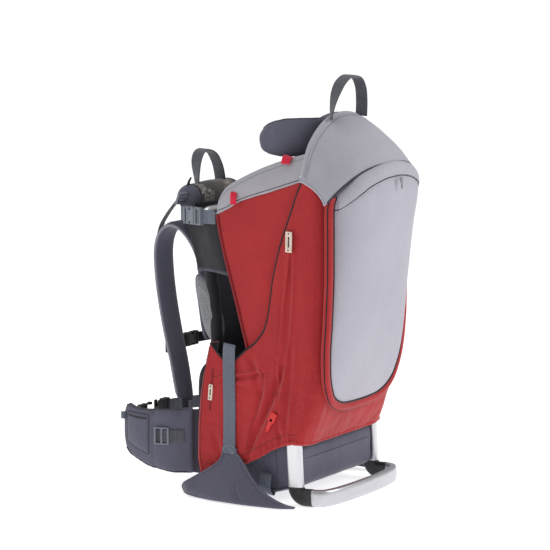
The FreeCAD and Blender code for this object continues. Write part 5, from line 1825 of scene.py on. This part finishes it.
kit = Kit("pod_zip_puller", (0, -271.8, 598), (0, -0.10, -1), (1, 0, 0))
kit.box((-4, 5), 2.2, 4, 1.4, 3).box((3, 18), 1.4, 2.4, 1.1, 3)
kit.build(PULLER_GREY, "zip_pack", "pack_zip_slider")

# ------------------------------------------------------------------ bowed bar of the stand
# (x, y) from the left end to the middle.
BOW = [(-137, -163), (-136.6, -173), (-131, -183.5), (-114, -191.5), (-76, -197.5), (0, -200.5)]
path = spline([(x, y, 17.4) for x, y in mirrored(BOW)], 120)
attach(sweep("kickstand_bow_bar", path, (0, 0, 1), oval(31.6, 14.8, 3.2, 32), ALUMINIUM_X),
       "kickstand", "kickstand_bow")

# ------------------------------------------------------------------ CAD parts that stay
CAD_MATERIALS = {
    "main_frame_tube": ALUMINIUM, "base_front_bar": ALUMINIUM_X, "base_corners": BLACK_PLASTIC,
    "front_feet": RUBBER, "strut_clamps": BLACK_PLASTIC, "seat_struts": ALUMINIUM,
    "pivot_bracket_left": BLACK_PLASTIC, "pivot_bracket_right": BLACK_PLASTIC,
    "pins_and_rivets": STEEL, "shell_hoop": ALUMINIUM, "kickstand_leg_left": ALUMINIUM,
    "kickstand_leg_right": ALUMINIUM, "kickstand_elbows": BLACK_PLASTIC,
    "kickstand_bow": ALUMINIUM_X}
for node, mat in CAD_MATERIALS.items():
    part = NODES[node]
    for slot in part.material_slots:
        slot.material = mat
    if not part.material_slots:
        part.data.materials.append(mat)


# ------------------------------------------------------------------ stage, in metres
def look_at(obj, location, target):
    obj.location = location
    obj.rotation_euler = (V(target) - obj.location).to_track_quat("-Z", "Y").to_euler()


def floor():
    half = 30
    mesh = bpy.data.meshes.new("floor")
    mesh.from_pydata([(-half, -half, 0), (half, -half, 0), (half, half, 0), (-half, half, 0)],
                     [], [(0, 1, 2, 3)])
    obj = link("floor", mesh)
    paper = Mat("floor_paper", textured=False)
    mesh.materials.append(paper.done(
        Base_Color=(0.93, 0.93, 0.93, 1), Roughness=0.95, Specular_IOR_Level=0.1,
        Emission_Color=(1, 1, 1, 1), Emission_Strength=0.66))


def world():
    """White for the camera, dimmer as a light."""
    studio = bpy.data.worlds.new("studio")
    scene.world = studio
    studio.use_nodes = True
    tree = studio.node_tree
    background = tree.nodes["Background"]
    background.inputs["Color"].default_value = (1, 1, 1, 1)
    rays = tree.nodes.new("ShaderNodeLightPath")
    strength = tree.nodes.new("ShaderNodeMapRange")
    tree.links.new(rays.outputs["Is Camera Ray"], strength.inputs["Value"])
    strength.inputs["To Min"].default_value = 0.40
    strength.inputs["To Max"].default_value = 1.0
    tree.links.new(strength.outputs[0], background.inputs["Strength"])


def area_light(name, location, target, size, power):
    light = bpy.data.lights.new(name, "AREA")
    light.shape = "SQUARE"
    light.size = size
    light.energy = power
    look_at(link(name, light), location, target)


def camera():
    data = bpy.data.cameras.new("camera")
    data.lens = 170
    data.sensor_width = 36
    data.clip_end = 100
    obj = link("camera", data)
    look_at(obj, location=(-4.112, -2.570, 1.107), target=(0, 0, 0.4))
    scene.camera = obj


floor()
world()
area_light("key", location=(2.0, -4.0, 2.7), target=(0, 0, 0.4), size=1.8, power=70)
area_light("fill", location=(-2.6, 3.4, 2.4), target=(0, 0, 0.4), size=1.4, power=30)
area_light("top", location=(0.4, 0.6, 3.6), target=(0, 0, 0.3), size=2.5, power=28)
camera()
scene.view_settings.view_transform = "Standard"
